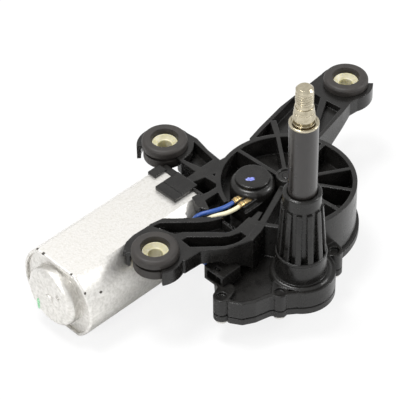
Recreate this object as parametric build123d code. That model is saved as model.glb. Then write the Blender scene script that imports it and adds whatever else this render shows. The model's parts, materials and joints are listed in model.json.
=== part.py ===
"""Rear wiper motor: motor can, worm gear, sector linkage, output spindle and three-point ribbed housing.

Millimetres, +Z up along the output spindle. The model is laid out from the deck, the top plane of the
housing's ribs (z = 0), with the spindle axis at x = y = 0 and the motor axis along X, its rear end at -X.
Each piece is moved down by SEAT_Z on export, so the origin is where the spindle crosses the collar seat.
"""
from build123d import *
from math import acos, atan2, cos, degrees, hypot, pi, radians, sin, tan
import os

os.makedirs("parts", exist_ok=True)

# ------------------------------------------------------------------ layout
SEAT_Z = 33.0                       # collar seat above the deck
WHEEL = (26.4, 35.0)                # worm wheel axis
GROMMET_1 = (-51.4, 42.4)           # mounting eye beside the motor can
GROMMET_2 = (3.3, 93.9)             # mounting eye behind the motor's front end
GROMMET_3 = (97.9, 64.2)            # mounting eye on the long arm
EYES = (GROMMET_1, GROMMET_2, GROMMET_3)
EYE_GAPS = ((135.0, 240.0), (140.0, 258.0), (-46.0, 80.0))   # stretch where each eye is open
FIT = 0.1                           # gap of pieces that sit in one another
RUNNING = 0.05                      # radial running clearance of pins and shafts
FREE = 0.4                          # gap of pieces that pass one another

# ------------------------------------------------------------------ worm gear
MODULE = 1.1
WHEEL_TEETH = 54
WHEEL_PITCH_R = MODULE * WHEEL_TEETH / 2
WORM_PITCH_R = 6.3
TOOTH_ADDENDUM = 0.85 * MODULE
TOOTH_DEDENDUM = 1.1 * MODULE
LEAD = pi * MODULE
LEAD_ANGLE = degrees(atan2(LEAD, 2 * pi * WORM_PITCH_R))
BACKLASH = 0.35
MOTOR_Y = WHEEL[1] + WHEEL_PITCH_R + WORM_PITCH_R
MOTOR_Z = -20.7
WHEEL_T = 6.4
WHEEL_TOP = MOTOR_Z + WHEEL_T / 2
WHEEL_BOTTOM = MOTOR_Z - WHEEL_T / 2
AXLE_R = 3.0
WHEEL_HUB_R = 11.0
RIM_T = 3.2
WEB_T = 2.6
WORM_LENGTH = 27.0

# ------------------------------------------------------------------ sector linkage
PINION_TEETH = 13
SECTOR_TEETH = 26
SECTOR_MODULE = 1.0
PINION_R = SECTOR_MODULE * PINION_TEETH / 2
SECTOR_R = SECTOR_MODULE * SECTOR_TEETH / 2
ROCKER_LENGTH = PINION_R + SECTOR_R
ROCKER_REST = 116.0                 # rocker direction at rest, degrees from +X
ROCKER_SWING = 38.5
SECTOR_T = 4.2
ROCKER_T = 2.2
LAYER_GAP = 0.4
SECTOR_TOP = WHEEL_BOTTOM - LAYER_GAP - 0.2
SECTOR_BOTTOM = SECTOR_TOP - SECTOR_T
ROCKER_BOTTOM = SECTOR_TOP + LAYER_GAP
ROCKER_TOP = ROCKER_BOTTOM + ROCKER_T
LINK_PIN_R = 2.5
LINK_EYE_R = 5.2

# ------------------------------------------------------------------ housing
DRUM_R = 33.2
DRUM_WALL = 2.2
FLOOR_Z = -10.5
FLOOR_T = 2.5
RIB_T = 1.9
THICK_RIB_T = 2.9
RIB_ANGLES = (92.0, 52.0, 10.0, -30.0, -58.0, -86.0)
AXLE_BOSS_R = 5.2
AXLE_BOSS_TOP = 2.6
SPLIT_Z = -25.0                     # where the housing ends and the cover starts
SKIRT_TOP = -16.0
SKIRT_WALL = 2.0
ROOF_Z = -19.0                      # roof of the linkage space, sunk behind the skirt's rim
ROOF_T = 1.8
SHOULDER_R = 14.4                   # raised ring of the roof around the tower
SHOULDER_TOP = -15.2
LIP_R = 34.7
BOSS_R = 3.9
BOSS_DIMPLE = 1.4
EAR_T = 3.0
SCREW_R = 1.5
BOSS_CORE_R = 3.1                   # the part of a boss that stands inside the chamber
HIDDEN_BOSS_ANGLES = (23.0, 137.0)  # bosses on the far side, seen from the wheel axis
ARM_WALL = 1.9
ARM_DEPTH = 8.0
ARM_ROOT_DEPTH = 17.0
ARM_FLOOR_Z = -6.2
ARM_FLOOR_T = 1.4
SHALLOW_FLOOR_Z = -3.4

TUNNEL_R = 9.6
PLATE_T = 4.2
TONGUE_T = 1.9
DIAGONAL_ANGLE = 203.5
SOCKET_BOX = (-33.6, -21.9, 16.9, 29.1, -18.7, -10.6)

# ------------------------------------------------------------------ cover
GASKET_T = 0.8
SCREW_HEAD_R = 2.9
COVER_RIM_BOTTOM = -29.2
COVER_T = 2.0
COVER_DISH_BOTTOM = SECTOR_BOTTOM - 0.6 - COVER_T

# ------------------------------------------------------------------ spindle tower
TOWER_BASE_R = 12.0
TOWER_BASE_TOP = -3.8
FIN_FOOT_R = 11.6
FIN_TOP_R = 9.7
FIN_TOP = 25.0
FIN_COUNT = 12
FIN_PHASE = 6.0
FIN_T = 2.7
TOWER_CORE_R = 7.4
COLLAR_R = 8.9
COLLAR_BOTTOM = 25.6
COLLAR_GAP = 0.2                    # the collar ends this far below the step of the sleeve
SLEEVE_R = 6.65
SLEEVE_FOOT_R = 6.3                 # the sleeve below its step, pressed into the tower
SLEEVE_WALL = 1.25
SLEEVE_TOP = 72.2
SLEEVE_BOTTOM = -13.0
SHAFT_R = 4.3
THREAD_R = 3.95
KNURL_R = 4.85
KNURL_BOTTOM = 75.4
KNURL_TOP = 82.2
SHAFT_TOP = 92.6

# ------------------------------------------------------------------ motor can
CAN_R = 23.0
CAN_FLAT = 19.0                     # flat to axis
CAN_WALL = 1.6
CAN_REAR = -87.0
CAN_FRONT = -9.0
CAN_CORNER = 0.9
BELL_RECESS = 1.2                   # the end bell lies this far inside the rim of the can
BELL_T = 1.6
PAN_R = 15.2
PAN_LENGTH = 5.2
PAN_CORNER = 2.8
BEARING_SEAT_R = 9.0
THRUST_PAD_T = 1.2
MAGNET_T = 4.2
MAGNET_SPAN = 104.0
ARMATURE_R = 15.9
ARMATURE_LENGTH = 40.0
MOTOR_SHAFT_R = 3.0
COMMUTATOR_R = 9.0
COMMUTATOR_LENGTH = 11.0
FRONT_BEARING_R = 6.5
CARD_START = CAN_FRONT - 5.4
COMMUTATOR_START = CAN_FRONT - 13.5
ARMATURE_START = COMMUTATOR_START - 8.2 - ARMATURE_LENGTH
MAGNET_LENGTH = 46.0
MAGNET_START = ARMATURE_START - 3.0
BRUSH_LENGTH = 6.5

# ------------------------------------------------------------------ grommets
GROMMET_R = 11.1
GROMMET_FOOT_R = 10.4
GROOVE_R = 8.6
GROMMET_TOP = 4.2
GROMMET_CORNER = 2.0
GROMMET_BOTTOM = -6.5
EYE_PLATE_T = 1.9
EYE_R = GROMMET_R + 2.4
BUSH_R = 6.3
BUSH_BORE_R = 3.4
BUSH_MOUTH_R = 5.5
BUSH_MOUTH_DEPTH = 2.4
BUSH_TOP = 2.7
BUSH_BOTTOM = -7.1
MOUTH_FLARE = 0.5

# ------------------------------------------------------------------ park switch
CAP_CENTRE = (13.3, 44.6)
CAP_R = 10.7
CAP_TOP_R = 8.3
CAP_TOP = 4.6
CAP_SHOULDER = 2.6
CAP_CORNER = 3.0
TERMINAL_X = 1.6
TERMINAL_Y = (42.4, 38.4)
TERMINAL_Z = -1.0
WIRE_R = 1.05
CONTACT_R = 24.0
CONTACT_T = 0.5
PIN_Y = (20.2, 23.0, 25.8)
PIN_Z = -14.6
PIN_RECESS = 4.5


def polar(radius, angle, centre=(0.0, 0.0)):
    """Point at a radius and an angle in degrees from a centre."""
    return (centre[0] + radius * cos(radians(angle)), centre[1] + radius * sin(radians(angle)))


def disc(radius, bottom, top, centre=(0.0, 0.0)):
    """Upright cylinder between two heights."""
    height = top - bottom
    return Pos(centre[0], centre[1], bottom + height / 2) * Cylinder(radius, height)


def tube(outer, inner, bottom, top, centre=(0.0, 0.0)):
    """Upright tube between two heights."""
    return disc(outer, bottom, top, centre) - disc(inner, bottom - 1, top + 1, centre)


def cone(bottom_radius, top_radius, bottom, top, centre=(0.0, 0.0)):
    """Upright cone frustum between two heights."""
    height = top - bottom
    return Pos(centre[0], centre[1], bottom + height / 2) * Cone(bottom_radius, top_radius, height)


def rod(radius, start, end, y=MOTOR_Y, z=MOTOR_Z):
    """Cylinder along X between two stations."""
    length = end - start
    return Pos(start + length / 2, y, z) * Rot(0, 90, 0) * Cylinder(radius, length)


def pipe(outer, inner, start, end, y=MOTOR_Y, z=MOTOR_Z):
    """Tube along X between two stations."""
    return rod(outer, start, end, y, z) - rod(inner, start - 1, end + 1, y, z)


def block(x0, x1, y0, y1, z0, z1):
    """Box between two corners."""
    size = (x1 - x0, y1 - y0, z1 - z0)
    return Pos((x0 + x1) / 2, (y0 + y1) / 2, (z0 + z1) / 2) * Box(*size)


def face_of(points, radius=0.0):
    """Flat face inside a closed outline, with its corners rounded."""
    face = make_face(Polyline(*points, close=True))
    if radius:
        face = fillet(face.vertices(), radius)
    return face


def prism(face, bottom, top):
    """A plan face pulled up between two heights."""
    return Pos(0, 0, bottom) * extrude(face, top - bottom)


def plan(points, bottom, top, radius=0.0):
    """Prism over a plan outline."""
    return prism(face_of(points, radius), bottom, top)


def rib(start, end, thickness, bottom, top):
    """Upright wall between two plan points."""
    length = hypot(end[0] - start[0], end[1] - start[1])
    angle = degrees(atan2(end[1] - start[1], end[0] - start[0]))
    middle = ((start[0] + end[0]) / 2, (start[1] + end[1]) / 2)
    wall = Rot(0, 0, angle) * Box(length, thickness, top - bottom)
    return Pos(middle[0], middle[1], (top + bottom) / 2) * wall


def fan(centre, radius, start, end):
    """Plan sector of a disc between two angles."""
    steps = 6
    corners = [polar(2 * radius, start + (end - start) * i / steps, centre) for i in range(steps + 1)]
    return face_of([centre] + corners) & (Pos(*centre) * Circle(radius))


def bar_face(start, end, start_r, end_r):
    """Plan face of a link with a round eye at each end."""
    return make_hull((Pos(*start) * Circle(start_r)).edges() + (Pos(*end) * Circle(end_r)).edges())


FRONT_SCREWS = ((-17.4, -3.5), (-38.2, 13.2), (19.8, -2.5))
SCREWS = FRONT_SCREWS + tuple(polar(LIP_R + 1.9, angle, WHEEL) for angle in HIDDEN_BOSS_ANGLES)


def boss_face(centre, grow=0.0):
    """Plan of a screw boss and the web that joins it to the chamber wall."""
    reach = hypot(centre[0] - WHEEL[0], centre[1] - WHEEL[1])
    inward = tuple(c + (w - c) * 5 / reach for c, w in zip(centre, WHEEL))
    return bar_face(centre, inward, BOSS_R + grow, BOSS_R + grow)


# ------------------------------------------------------------------ linkage geometry
def linkage():
    """Crank radius, coupler length and swing of the linkage that gives the rocker its two dead centres."""
    rest = polar(ROCKER_LENGTH, ROCKER_REST)
    far = polar(ROCKER_LENGTH, ROCKER_REST + ROCKER_SWING)
    near_reach = hypot(rest[0] - WHEEL[0], rest[1] - WHEEL[1])
    far_reach = hypot(far[0] - WHEEL[0], far[1] - WHEEL[1])
    rest_angle = degrees(atan2(rest[1] - WHEEL[1], rest[0] - WHEEL[0])) % 360
    far_angle = degrees(atan2(far[1] - WHEEL[1], far[0] - WHEEL[0])) % 360
    return {
        "crank": (far_reach - near_reach) / 2,
        "coupler": (far_reach + near_reach) / 2,
        "coupler_angle": rest_angle,
        "coupler_turn": far_angle - rest_angle,
        "pivot": rest,
    }


LINK = linkage()
CRANK_PIN = polar(LINK["crank"], LINK["coupler_angle"] + 180, WHEEL)
PIVOT = LINK["pivot"]
SECTOR_ROLL = ROCKER_SWING - LINK["coupler_turn"]


# ------------------------------------------------------------------ deck pockets
# Plan corners of the pockets and of the middle rib between the drum and the motor.
LATTICE_POCKETS = (
    [(3.9, 66.2), (11.0, 66.0), (4.4, 60.7)],
    [(0.5, 66.1), (1.1, 56.6), (-0.7, 54.8), (-5.7, 55.0), (-9.5, 55.8), (-10.2, 64.4), (-5.3, 65.5)],
)
FLAP_POCKET = [(-10.6, 52.0), (-2.4, 51.7), (-5.1, 43.6), (-7.7, 42.6), (-13.6, 46.0)]
LEAD_POCKET = [(-13.9, 37.6), (-8.2, 41.6), (-2.0, 42.6), (-2.0, 29.8), (-8.0, 28.9), (-13.9, 28.0)]
MIDDLE_RIB = [
    (-14.2, 27.9), (-8.3, 28.6), (-3.3, 28.4), (1.6, 29.2), (2.4, 27.2), (-3.4, 25.0), (-9.4, 24.9),
    (-14.6, 24.9)]


# ------------------------------------------------------------------ teeth
def involute(angle):
    """Involute of an angle in radians."""
    return tan(angle) - angle


def tooth_half_angle(radius, pitch_r, teeth, slack):
    """Half the angle of an involute tooth at a radius, in radians."""
    base_r = pitch_r * cos(radians(20))
    roll = acos(min(1.0, base_r / radius))
    return pi / (2 * teeth) - slack / (2 * pitch_r) + involute(radians(20)) - involute(roll)


def spur_tooth(teeth, module, centre, angle, slack=0.14):
    """Plan face of one involute tooth that points along an angle."""
    pitch_r = module * teeth / 2
    root_r = pitch_r - 1.15 * module
    tip_r = pitch_r + 0.9 * module
    flank = [max(root_r, pitch_r * cos(radians(20))) + 0.01, pitch_r, (pitch_r + tip_r) / 2, tip_r]
    widths = [tooth_half_angle(radius, pitch_r, teeth, slack) for radius in flank]
    flank = [root_r - 0.3] + flank
    widths = [widths[0]] + widths
    left = [polar(r, angle + degrees(w), centre) for r, w in zip(flank, widths)]
    right = [polar(r, angle - degrees(w), centre) for r, w in zip(flank, widths)]
    return face_of(left + right[::-1])


# ------------------------------------------------------------------ housing
def deck_outline():
    """Plan of the ribbed deck between the drum, the motor and the near arm."""
    return face_of([(-14.0, 17.4), (-3.4, 21.8), (7.0, 26.0), (26.4, 35.0), (24.0, 66.0), (14.0, 67.2),
                    (0.6, 69.4), (-9.0, 69.2), (-9.4, 57.4), (-13.4, 57.8), (-15.0, 54.4), (-15.9, 50.0),
                    (-14.4, 46.8), (-13.9, 38.8)])


def arm_1_corners():
    """Plan corners of the arm beside the motor can."""
    x, y = GROMMET_1
    return [(-14.0, 17.4), (-26.0, 21.4), (-36.0, 28.8), (x + 6, y - 13.0), (x, y), (x + 4, y + 14.0),
            (-39.8, 58.2), (-33.0, 56.9), (-25.3, 49.4), (-13.0, 38.8)]


def arm_2_corners():
    """Plan corners of the arm behind the front end of the motor."""
    x, y = GROMMET_2
    motor_side = [(-9.0, 66.0), (-9.0, 69.2), (0.2, 69.6), (0.2, 79.0), (x - 6.0, y - 8.0), (x, y)]
    drum_side = [(x + 13.2, y + 0.5), (17.2, 86.0), (15.0, 76.2), (13.4, 60.0)]
    return motor_side + drum_side


def arm_3_corners():
    """Plan corners of the long arm."""
    x, y = GROMMET_3
    far_side = [(35.0, 60.0), (35.0, 68.2), (44.4, 70.6), (62.0, 74.2), (x - 4, y + 13.0), (x, y)]
    near_side = [(x + 1, y - 13.0), (88.0, 52.0), (81.0, 50.0), (60.5, 45.2), (50.0, 42.0)]
    return far_side + near_side


def side_profile(points, along_y=False, reach=200.0):
    """Upright band with a side outline given as station and height."""
    if along_y:
        face = make_face(Polyline(*[(0, s, h) for s, h in points], close=True))
        return extrude(face, reach, dir=(1, 0, 0), both=True)
    face = make_face(Polyline(*[(s, 0, h) for s, h in points], close=True))
    return extrude(face, reach, dir=(0, 1, 0), both=True)


def arm_body(corners, eye, profile, along_y=False):
    """Arm and its eye: the plan outline cut to its side outline, hollow below the floor."""
    depth = ARM_ROOT_DEPTH + 1
    outline = face_of(corners) + Pos(*eye) * Circle(EYE_R)
    inner = offset(face_of(corners), -ARM_WALL) + Pos(*eye) * Circle(EYE_R - ARM_WALL)
    solid = prism(outline, -depth, 0) & side_profile(profile, along_y)
    under = prism(inner, -depth - 1, ARM_FLOOR_Z - ARM_FLOOR_T)
    return solid - under


def arm_1():
    """Arm beside the motor can, with two long slots in its top."""
    profile = [(-70, 0), (-70, -ARM_DEPTH), (-29, -ARM_DEPTH), (-14.5, -ARM_ROOT_DEPTH),
               (-5, -ARM_ROOT_DEPTH), (-5, 0)]
    slot_1 = [(-40.0, 56.4), (-36.1, 55.5), (-22.9, 42.9), (-19.1, 40.1), (-13.9, 37.6), (-13.9, 28.0),
              (-17.3, 28.6), (-19.4, 29.8), (-22.4, 33.3), (-33.1, 43.9), (-36.3, 45.2)]
    slot_2 = [(-37.0, 40.2), (-33.6, 39.8), (-28.0, 34.1), (-23.1, 29.3), (-19.4, 26.5), (-14.6, 24.9),
              (-9.4, 24.9), (-5.4, 24.9), (-9.8, 22.5), (-14.5, 21.1), (-18.6, 20.9), (-22.2, 21.8),
              (-25.9, 23.6), (-37.4, 34.2)]
    x, y = GROMMET_1
    ear = [(x - 6, y + 8), (x - 9.6, y + 11.2), (x - 4.6, y + 14.8), (x + 1, y + 15.9),
           (x + 14, y + 15.4), (x + 8, y + 9)]
    arm = arm_body(arm_1_corners(), GROMMET_1, profile) + plan(ear, -EAR_T, 0)
    for slot in (slot_1, slot_2):
        arm -= plan(slot, ARM_FLOOR_Z, 1)
    return arm


def arm_2():
    """Arm behind the front end of the motor: a collar around the eye and a deep pocket below it."""
    profile = [(110, 0), (110, -ARM_DEPTH), (80, -ARM_DEPTH), (69, -12), (55, -12), (55, 0)]
    pocket = plan([(15.2, 90.0), (12.0, 69.8), (4.0, 69.8), (2.2, 78.0), (2.2, 90.0)], ARM_FLOOR_Z, 1)
    pocket -= disc(EYE_R + 0.4, -30, 2, GROMMET_2)
    return arm_body(arm_2_corners(), GROMMET_2, profile, along_y=True) - pocket


def arm_3():
    """Long arm, with a deep and a shallow pocket each side of its middle rib."""
    profile = [(30, 0), (30, -ARM_ROOT_DEPTH), (60, -ARM_ROOT_DEPTH), (88, -ARM_DEPTH),
               (120, -ARM_DEPTH), (120, 0)]
    arm = arm_body(arm_3_corners(), GROMMET_3, profile)
    deep = [(38.0, 66.9), (46.5, 69.0), (62.0, 72.2), (81.2, 76.6), (81.2, 65.4), (68.6, 57.0),
            (56.0, 49.2), (50.0, 46.0)]
    shallow = [(57.0, 46.6), (68.9, 53.8), (81.4, 61.4), (82.2, 52.8), (79.6, 52.1), (71.4, 49.7),
               (60.6, 46.8)]
    arm -= plan(deep, ARM_FLOOR_Z, 1)
    arm -= plan(shallow, SHALLOW_FLOOR_Z, 1)
    long_rib = rib(
        polar(DRUM_R, 52, WHEEL), polar(DRUM_R + 10, 53, WHEEL), THICK_RIB_T, ARM_FLOOR_Z - 0.5, 0)
    return arm + long_rib


def eye_cuts(centre, gap):
    """Hole of a mounting eye: the grommet groove, room for its foot below, and the open stretch."""
    hole = disc(GROOVE_R + FIT, -ARM_ROOT_DEPTH, 5, centre)
    foot = disc(GROMMET_R + FREE, -ARM_ROOT_DEPTH, -EYE_PLATE_T, centre)
    return hole + foot + prism(fan(centre, EYE_R + 4, *gap), -ARM_ROOT_DEPTH, 5)


def drum():
    """Round part of the deck over the worm wheel, with its floor, centre boss and radial ribs."""
    body = tube(DRUM_R, DRUM_R - DRUM_WALL, SPLIT_Z, 0, WHEEL)
    body += disc(DRUM_R - 0.5, FLOOR_Z - FLOOR_T, FLOOR_Z, WHEEL)
    body += disc(AXLE_BOSS_R, FLOOR_Z - FLOOR_T, AXLE_BOSS_TOP, WHEEL)
    for angle in RIB_ANGLES:
        body += rib(polar(4, angle, WHEEL), polar(DRUM_R - 1, angle, WHEEL), RIB_T, FLOOR_Z - 1, 0)
    return body


def lattice():
    """Deck between the drum and the motor: an outer wall, a floor, and ribs around its pockets."""
    walls = prism(deck_outline(), SKIRT_TOP - 1, 0) - disc(DRUM_R - 1, -30, 1, WHEEL)
    for pocket in LATTICE_POCKETS:
        walls -= plan(pocket, FLOOR_Z, 1)
    return walls - plan(FLAP_POCKET, ARM_FLOOR_Z, 1)


def lead_pocket():
    """Deep pocket between the drum and the near arm, open to the drum where the leads cross."""
    return plan(LEAD_POCKET, FLOOR_Z, 1)


def pocket_ribs():
    """Middle rib of the near arm, which crosses the drum wall to the diagonal, and a thin rib beside it."""
    return plan(MIDDLE_RIB, FLOOR_Z - 0.5, 0) + rib((-14.9, 26.0), (-14.3, 36.4), 0.9, FLOOR_Z - 0.5, -0.8)


def lower_outline(grow=0.0):
    """Plan of the gear chamber below the deck: drum, spindle base and the space of the linkage."""
    face = Pos(*WHEEL) * Circle(DRUM_R + grow) + Circle(16.2 + grow)
    left = [(0.0, -14.0), (-8.0, -13.6), (-22.5, -2.6), (-30.1, -0.6), (-35.6, 2.4), (-39.0, 7.8),
            (-37.6, 15.6), (-31.6, 24.2), (-24.0, 33.0), (-13.6, 43.6), (-4.0, 40.0), (12.0, 20.0)]
    skirt = face_of(left, 2.0)
    return face + (offset(skirt, grow, kind=Kind.INTERSECTION) if grow else skirt)


def skirt():
    """Lower walls and roof of the linkage space: a rim, a sunk roof, the tower's shoulder and the bosses."""
    roof_face = lower_outline(-SKIRT_WALL) - Circle(SHOULDER_R) - Pos(*WHEEL) * Circle(DRUM_R)
    body = prism(lower_outline(), SPLIT_Z, SKIRT_TOP) - prism(roof_face, ROOF_Z, SKIRT_TOP + 1)
    shoulder = disc(SHOULDER_R, ROOF_Z - 1, SHOULDER_TOP)
    body += fillet(shoulder.edges().sort_by(Axis.Z)[-1], 1.2)
    for centre in SCREWS:
        body += prism(boss_face(centre), SPLIT_Z, SKIRT_TOP)
        body -= disc(BOSS_R - 1.5, SKIRT_TOP - BOSS_DIMPLE, SKIRT_TOP + 1, centre)
    return body


def chamber():
    """Space inside the skirt and the drum for the wheel and the linkage."""
    inner = lower_outline(-SKIRT_WALL)
    space = prism(inner, SPLIT_Z - 1, ROOF_Z - ROOF_T)
    space += disc(DRUM_R - DRUM_WALL, SPLIT_Z - 1, FLOOR_Z - FLOOR_T, WHEEL)
    space += rod(WORM_PITCH_R + 1.6, CAN_FRONT + 5.0, WHEEL[0] + 18.0)
    for centre in SCREWS:
        space -= disc(BOSS_CORE_R, SPLIT_Z - 1, SKIRT_TOP, centre)
    return space


def tower():
    """Spindle tower: base, finned cone and collar with a funnel around the sleeve."""
    body = disc(TOWER_BASE_R, ROOF_Z - ROOF_T, TOWER_BASE_TOP)
    body += disc(TOWER_CORE_R, ROOF_Z, COLLAR_BOTTOM + 1)
    hull = cone(FIN_FOOT_R, FIN_TOP_R, TOWER_BASE_TOP, FIN_TOP)
    fin = Box(FIN_FOOT_R, FIN_T, FIN_TOP - TOWER_BASE_TOP)
    fin = Pos(FIN_FOOT_R / 2, 0, (TOWER_BASE_TOP + FIN_TOP) / 2) * fin
    fins = [Rot(0, 0, FIN_PHASE + i * 360 / FIN_COUNT) * fin for i in range(FIN_COUNT)]
    body += Part() + fins & hull
    collar_top = SEAT_Z - COLLAR_GAP
    collar = disc(COLLAR_R, COLLAR_BOTTOM, collar_top)
    collar = fillet(collar.edges().sort_by(Axis.Z)[-1], 0.8)
    return body + collar - cone(SLEEVE_FOOT_R + 0.3, COLLAR_R - 1.1, collar_top - 2.0, collar_top)


def flatted_rod(radius, flat, start, end):
    """Cylinder along the motor axis with a flat above and below."""
    return rod(radius, start, end) & block(start - 1, end + 1, MOTOR_Y - radius - 1, MOTOR_Y + radius + 1,
                                           MOTOR_Z - flat, MOTOR_Z + flat)


def motor_socket():
    """Front plate that closes the can, its spigot inside the can, and the tongues over the can."""
    body = flatted_rod(CAN_R, CAN_FLAT, CAN_FRONT + 0.2, CAN_FRONT + PLATE_T)
    inset = CAN_WALL + FIT
    body += flatted_rod(CAN_R - inset, CAN_FLAT - inset, CAN_FRONT - 3.0, CAN_FRONT + 1)
    body -= flatted_rod(CAN_R - inset - 2, CAN_FLAT - inset - 2, CAN_FRONT - 4.0, CAN_FRONT + 1.2)
    body -= plan([(CAN_FRONT + 1.4, 55.0), (1.1, 55.0), (1.1, 65.8), (CAN_FRONT + 1.4, 65.0)], FLOOR_Z, 1)
    body += block(CAN_FRONT + 0.2, CAN_FRONT + 1.4, 55.4, 64.6, MOTOR_Z + CAN_FLAT - 3, -0.6)
    top = MOTOR_Z + CAN_FLAT + FIT
    tongue = block(CAN_FRONT - 11.6, CAN_FRONT + 3, MOTOR_Y - 9.1, MOTOR_Y + 4.0, top, top + TONGUE_T)
    tongue -= block(
        CAN_FRONT - 7.0, CAN_FRONT - 6.5, MOTOR_Y - 10, MOTOR_Y + 5, top + TONGUE_T - 0.3, top + 3)
    clip = block(
        CAN_FRONT - 6.5, CAN_FRONT + 1, MOTOR_Y + 9.8, MOTOR_Y + 14.6, MOTOR_Z + CAN_FLAT - 5, top + 1.2)
    bottom = MOTOR_Z - CAN_FLAT - FIT
    lower = block(CAN_FRONT - 8.0, CAN_FRONT + PLATE_T, MOTOR_Y - 7, MOTOR_Y + 7, bottom - TONGUE_T, bottom)
    heel = block(
        CAN_FRONT + 0.2, CAN_FRONT + PLATE_T, MOTOR_Y - 7, MOTOR_Y + 7, bottom - TONGUE_T, bottom + 3)
    clip -= can_clearance() + disc(GROMMET_R + FREE, -ARM_ROOT_DEPTH, 1, GROMMET_2)
    return body + tongue + clip + lower + heel


def can_clearance():
    """Room for the motor can."""
    return flatted_rod(CAN_R + FREE, CAN_FLAT + FIT, CAN_REAR - 2, CAN_FRONT + 0.1)


def gear_housing():
    """Black moulded housing: drum, deck, three arms, skirt, worm tunnel, motor socket and tower."""
    body = skirt() + lattice()
    for arm, centre, gap in zip((arm_1(), arm_2(), arm_3()), EYES, EYE_GAPS):
        body += arm - disc(DRUM_R - 0.5, -40, 2, WHEEL) - eye_cuts(centre, gap)
    body += rod(TUNNEL_R, CAN_FRONT + 3.0, WHEEL[0] + 20.0)
    body += drum() + tower()
    body += rib(polar(4, DIAGONAL_ANGLE, WHEEL), polar(DRUM_R + 4, DIAGONAL_ANGLE, WHEEL), THICK_RIB_T,
                FLOOR_Z - 1, 0)
    body -= can_clearance() + lead_pocket()
    body += pocket_ribs()
    body += motor_socket()
    body -= chamber()
    body -= disc(AXLE_R + 0.01, FLOOR_Z - FLOOR_T - 1, AXLE_BOSS_TOP - 1.0, WHEEL)
    body -= disc(SLEEVE_FOOT_R + 0.02, SLEEVE_BOTTOM, SEAT_Z + 1)
    body -= disc(SHAFT_R + 1.6, ROOF_Z - ROOF_T - 1, SEAT_Z)
    body -= rod(MOTOR_SHAFT_R + 1.5, CAN_FRONT - 1, CAN_FRONT + 8)
    body -= rod(FRONT_BEARING_R + 0.02, CAN_FRONT - 1, CAN_FRONT + 4.4)
    for centre in SCREWS:
        body -= disc(SCREW_R - 0.05, SPLIT_Z - 1, SKIRT_TOP - BOSS_DIMPLE - 1.2, centre)
    body -= block(*SOCKET_BOX)
    body -= cap_seat() + wire_notch()
    return body


def cap_seat():
    """Window in the drum floor for the park switch, and the room of its cap above it."""
    return disc(CAP_R - 2.4, -30, 2, CAP_CENTRE) + disc(CAP_R + 0.3, FLOOR_Z, 5, CAP_CENTRE)


def wire_notch():
    """Low stretch of the drum wall and the deck where the leads cross."""
    x = WHEEL[0] - DRUM_R
    gate = block(x - 2, x + 9, 34.5, 44.4, -5.5, 2)
    over_deck = plan([(-4, 36.4), (-11, 37.2), (-16.8, 41.4), (-16.8, 46.8), (-4, 44.4)], -3.6, 2)
    under_arm = block(-28.5, -18.0, 38.0, 56.0, -30, ARM_FLOOR_Z - 0.6)
    return gate + over_deck + under_arm


# ------------------------------------------------------------------ cover
def cover_face(grow=0.0):
    """Plan of the cover: the chamber outline, the drum lip and the screw bosses."""
    face = lower_outline(grow) + Pos(*WHEEL) * Circle(LIP_R + grow)
    for centre in SCREWS:
        face += boss_face(centre, grow)
    return face


def tunnel_saddle():
    """Underside of the worm tunnel, which the cover and the gasket clear."""
    tunnel = rod(TUNNEL_R + FREE, CAN_FRONT, WHEEL[0] + 20.0 + FREE)
    return tunnel + flatted_rod(
        CAN_R + FREE, CAN_FLAT + TONGUE_T + FREE, CAN_REAR, CAN_FRONT + PLATE_T + FREE)


def gear_cover():
    """Dished cover below the wheel and the linkage."""
    top = SPLIT_Z - GASKET_T
    body = prism(cover_face(), COVER_RIM_BOTTOM, top)
    dish = lower_outline(-SKIRT_WALL - 0.6)
    body += prism(dish, COVER_DISH_BOTTOM, COVER_RIM_BOTTOM + 1)
    body -= prism(lower_outline(-SKIRT_WALL - COVER_T - 0.6), COVER_DISH_BOTTOM + COVER_T, top + 1)
    for centre in SCREWS:
        body += disc(BOSS_CORE_R, COVER_RIM_BOTTOM, top, centre)
        body -= disc(SCREW_R + 0.1, COVER_DISH_BOTTOM - 1, top + 1, centre)
        body -= disc(SCREW_HEAD_R + 0.3, COVER_DISH_BOTTOM - 1, COVER_RIM_BOTTOM, centre)
    return body - tunnel_saddle()


def cover_gasket():
    """Flat seal between the housing and the cover."""
    face = cover_face(-0.5) - lower_outline(-SKIRT_WALL)
    body = prism(face, SPLIT_Z - GASKET_T + 0.02, SPLIT_Z - 0.02)
    for centre in SCREWS:
        body += disc(BOSS_CORE_R, SPLIT_Z - GASKET_T + 0.02, SPLIT_Z - 0.02, centre)
        body -= disc(SCREW_R + 0.3, SPLIT_Z - 2, SPLIT_Z + 1, centre)
    return body - tunnel_saddle()


def cover_screws():
    """Pan-head screws that hold the cover."""
    shank_top = SKIRT_TOP - BOSS_DIMPLE - 1.6
    screws = []
    for centre in SCREWS:
        head = disc(SCREW_HEAD_R, COVER_RIM_BOTTOM - 1.9, COVER_RIM_BOTTOM - 0.02, centre)
        head -= Pos(centre[0], centre[1], COVER_RIM_BOTTOM - 1.9) * Box(2.6, 0.8, 1.4)
        head -= Pos(centre[0], centre[1], COVER_RIM_BOTTOM - 1.9) * Box(0.8, 2.6, 1.4)
        screws.append(head + disc(SCREW_R - 0.1, COVER_RIM_BOTTOM - 1, shank_top, centre))
    return screws


# ------------------------------------------------------------------ motor
def motor_can():
    """Drawn steel tube with two flats and a rolled rear rim; the end bell sits inside the rim."""
    body = flatted_rod(CAN_R, CAN_FLAT, CAN_REAR, CAN_FRONT)
    rear = body.edges().filter_by_position(Axis.X, CAN_REAR - 0.01, CAN_REAR + 0.01)
    body = fillet(rear, CAN_CORNER)
    return body - flatted_rod(CAN_R - CAN_WALL, CAN_FLAT - CAN_WALL, CAN_REAR - 1, CAN_FRONT + 1)


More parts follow.
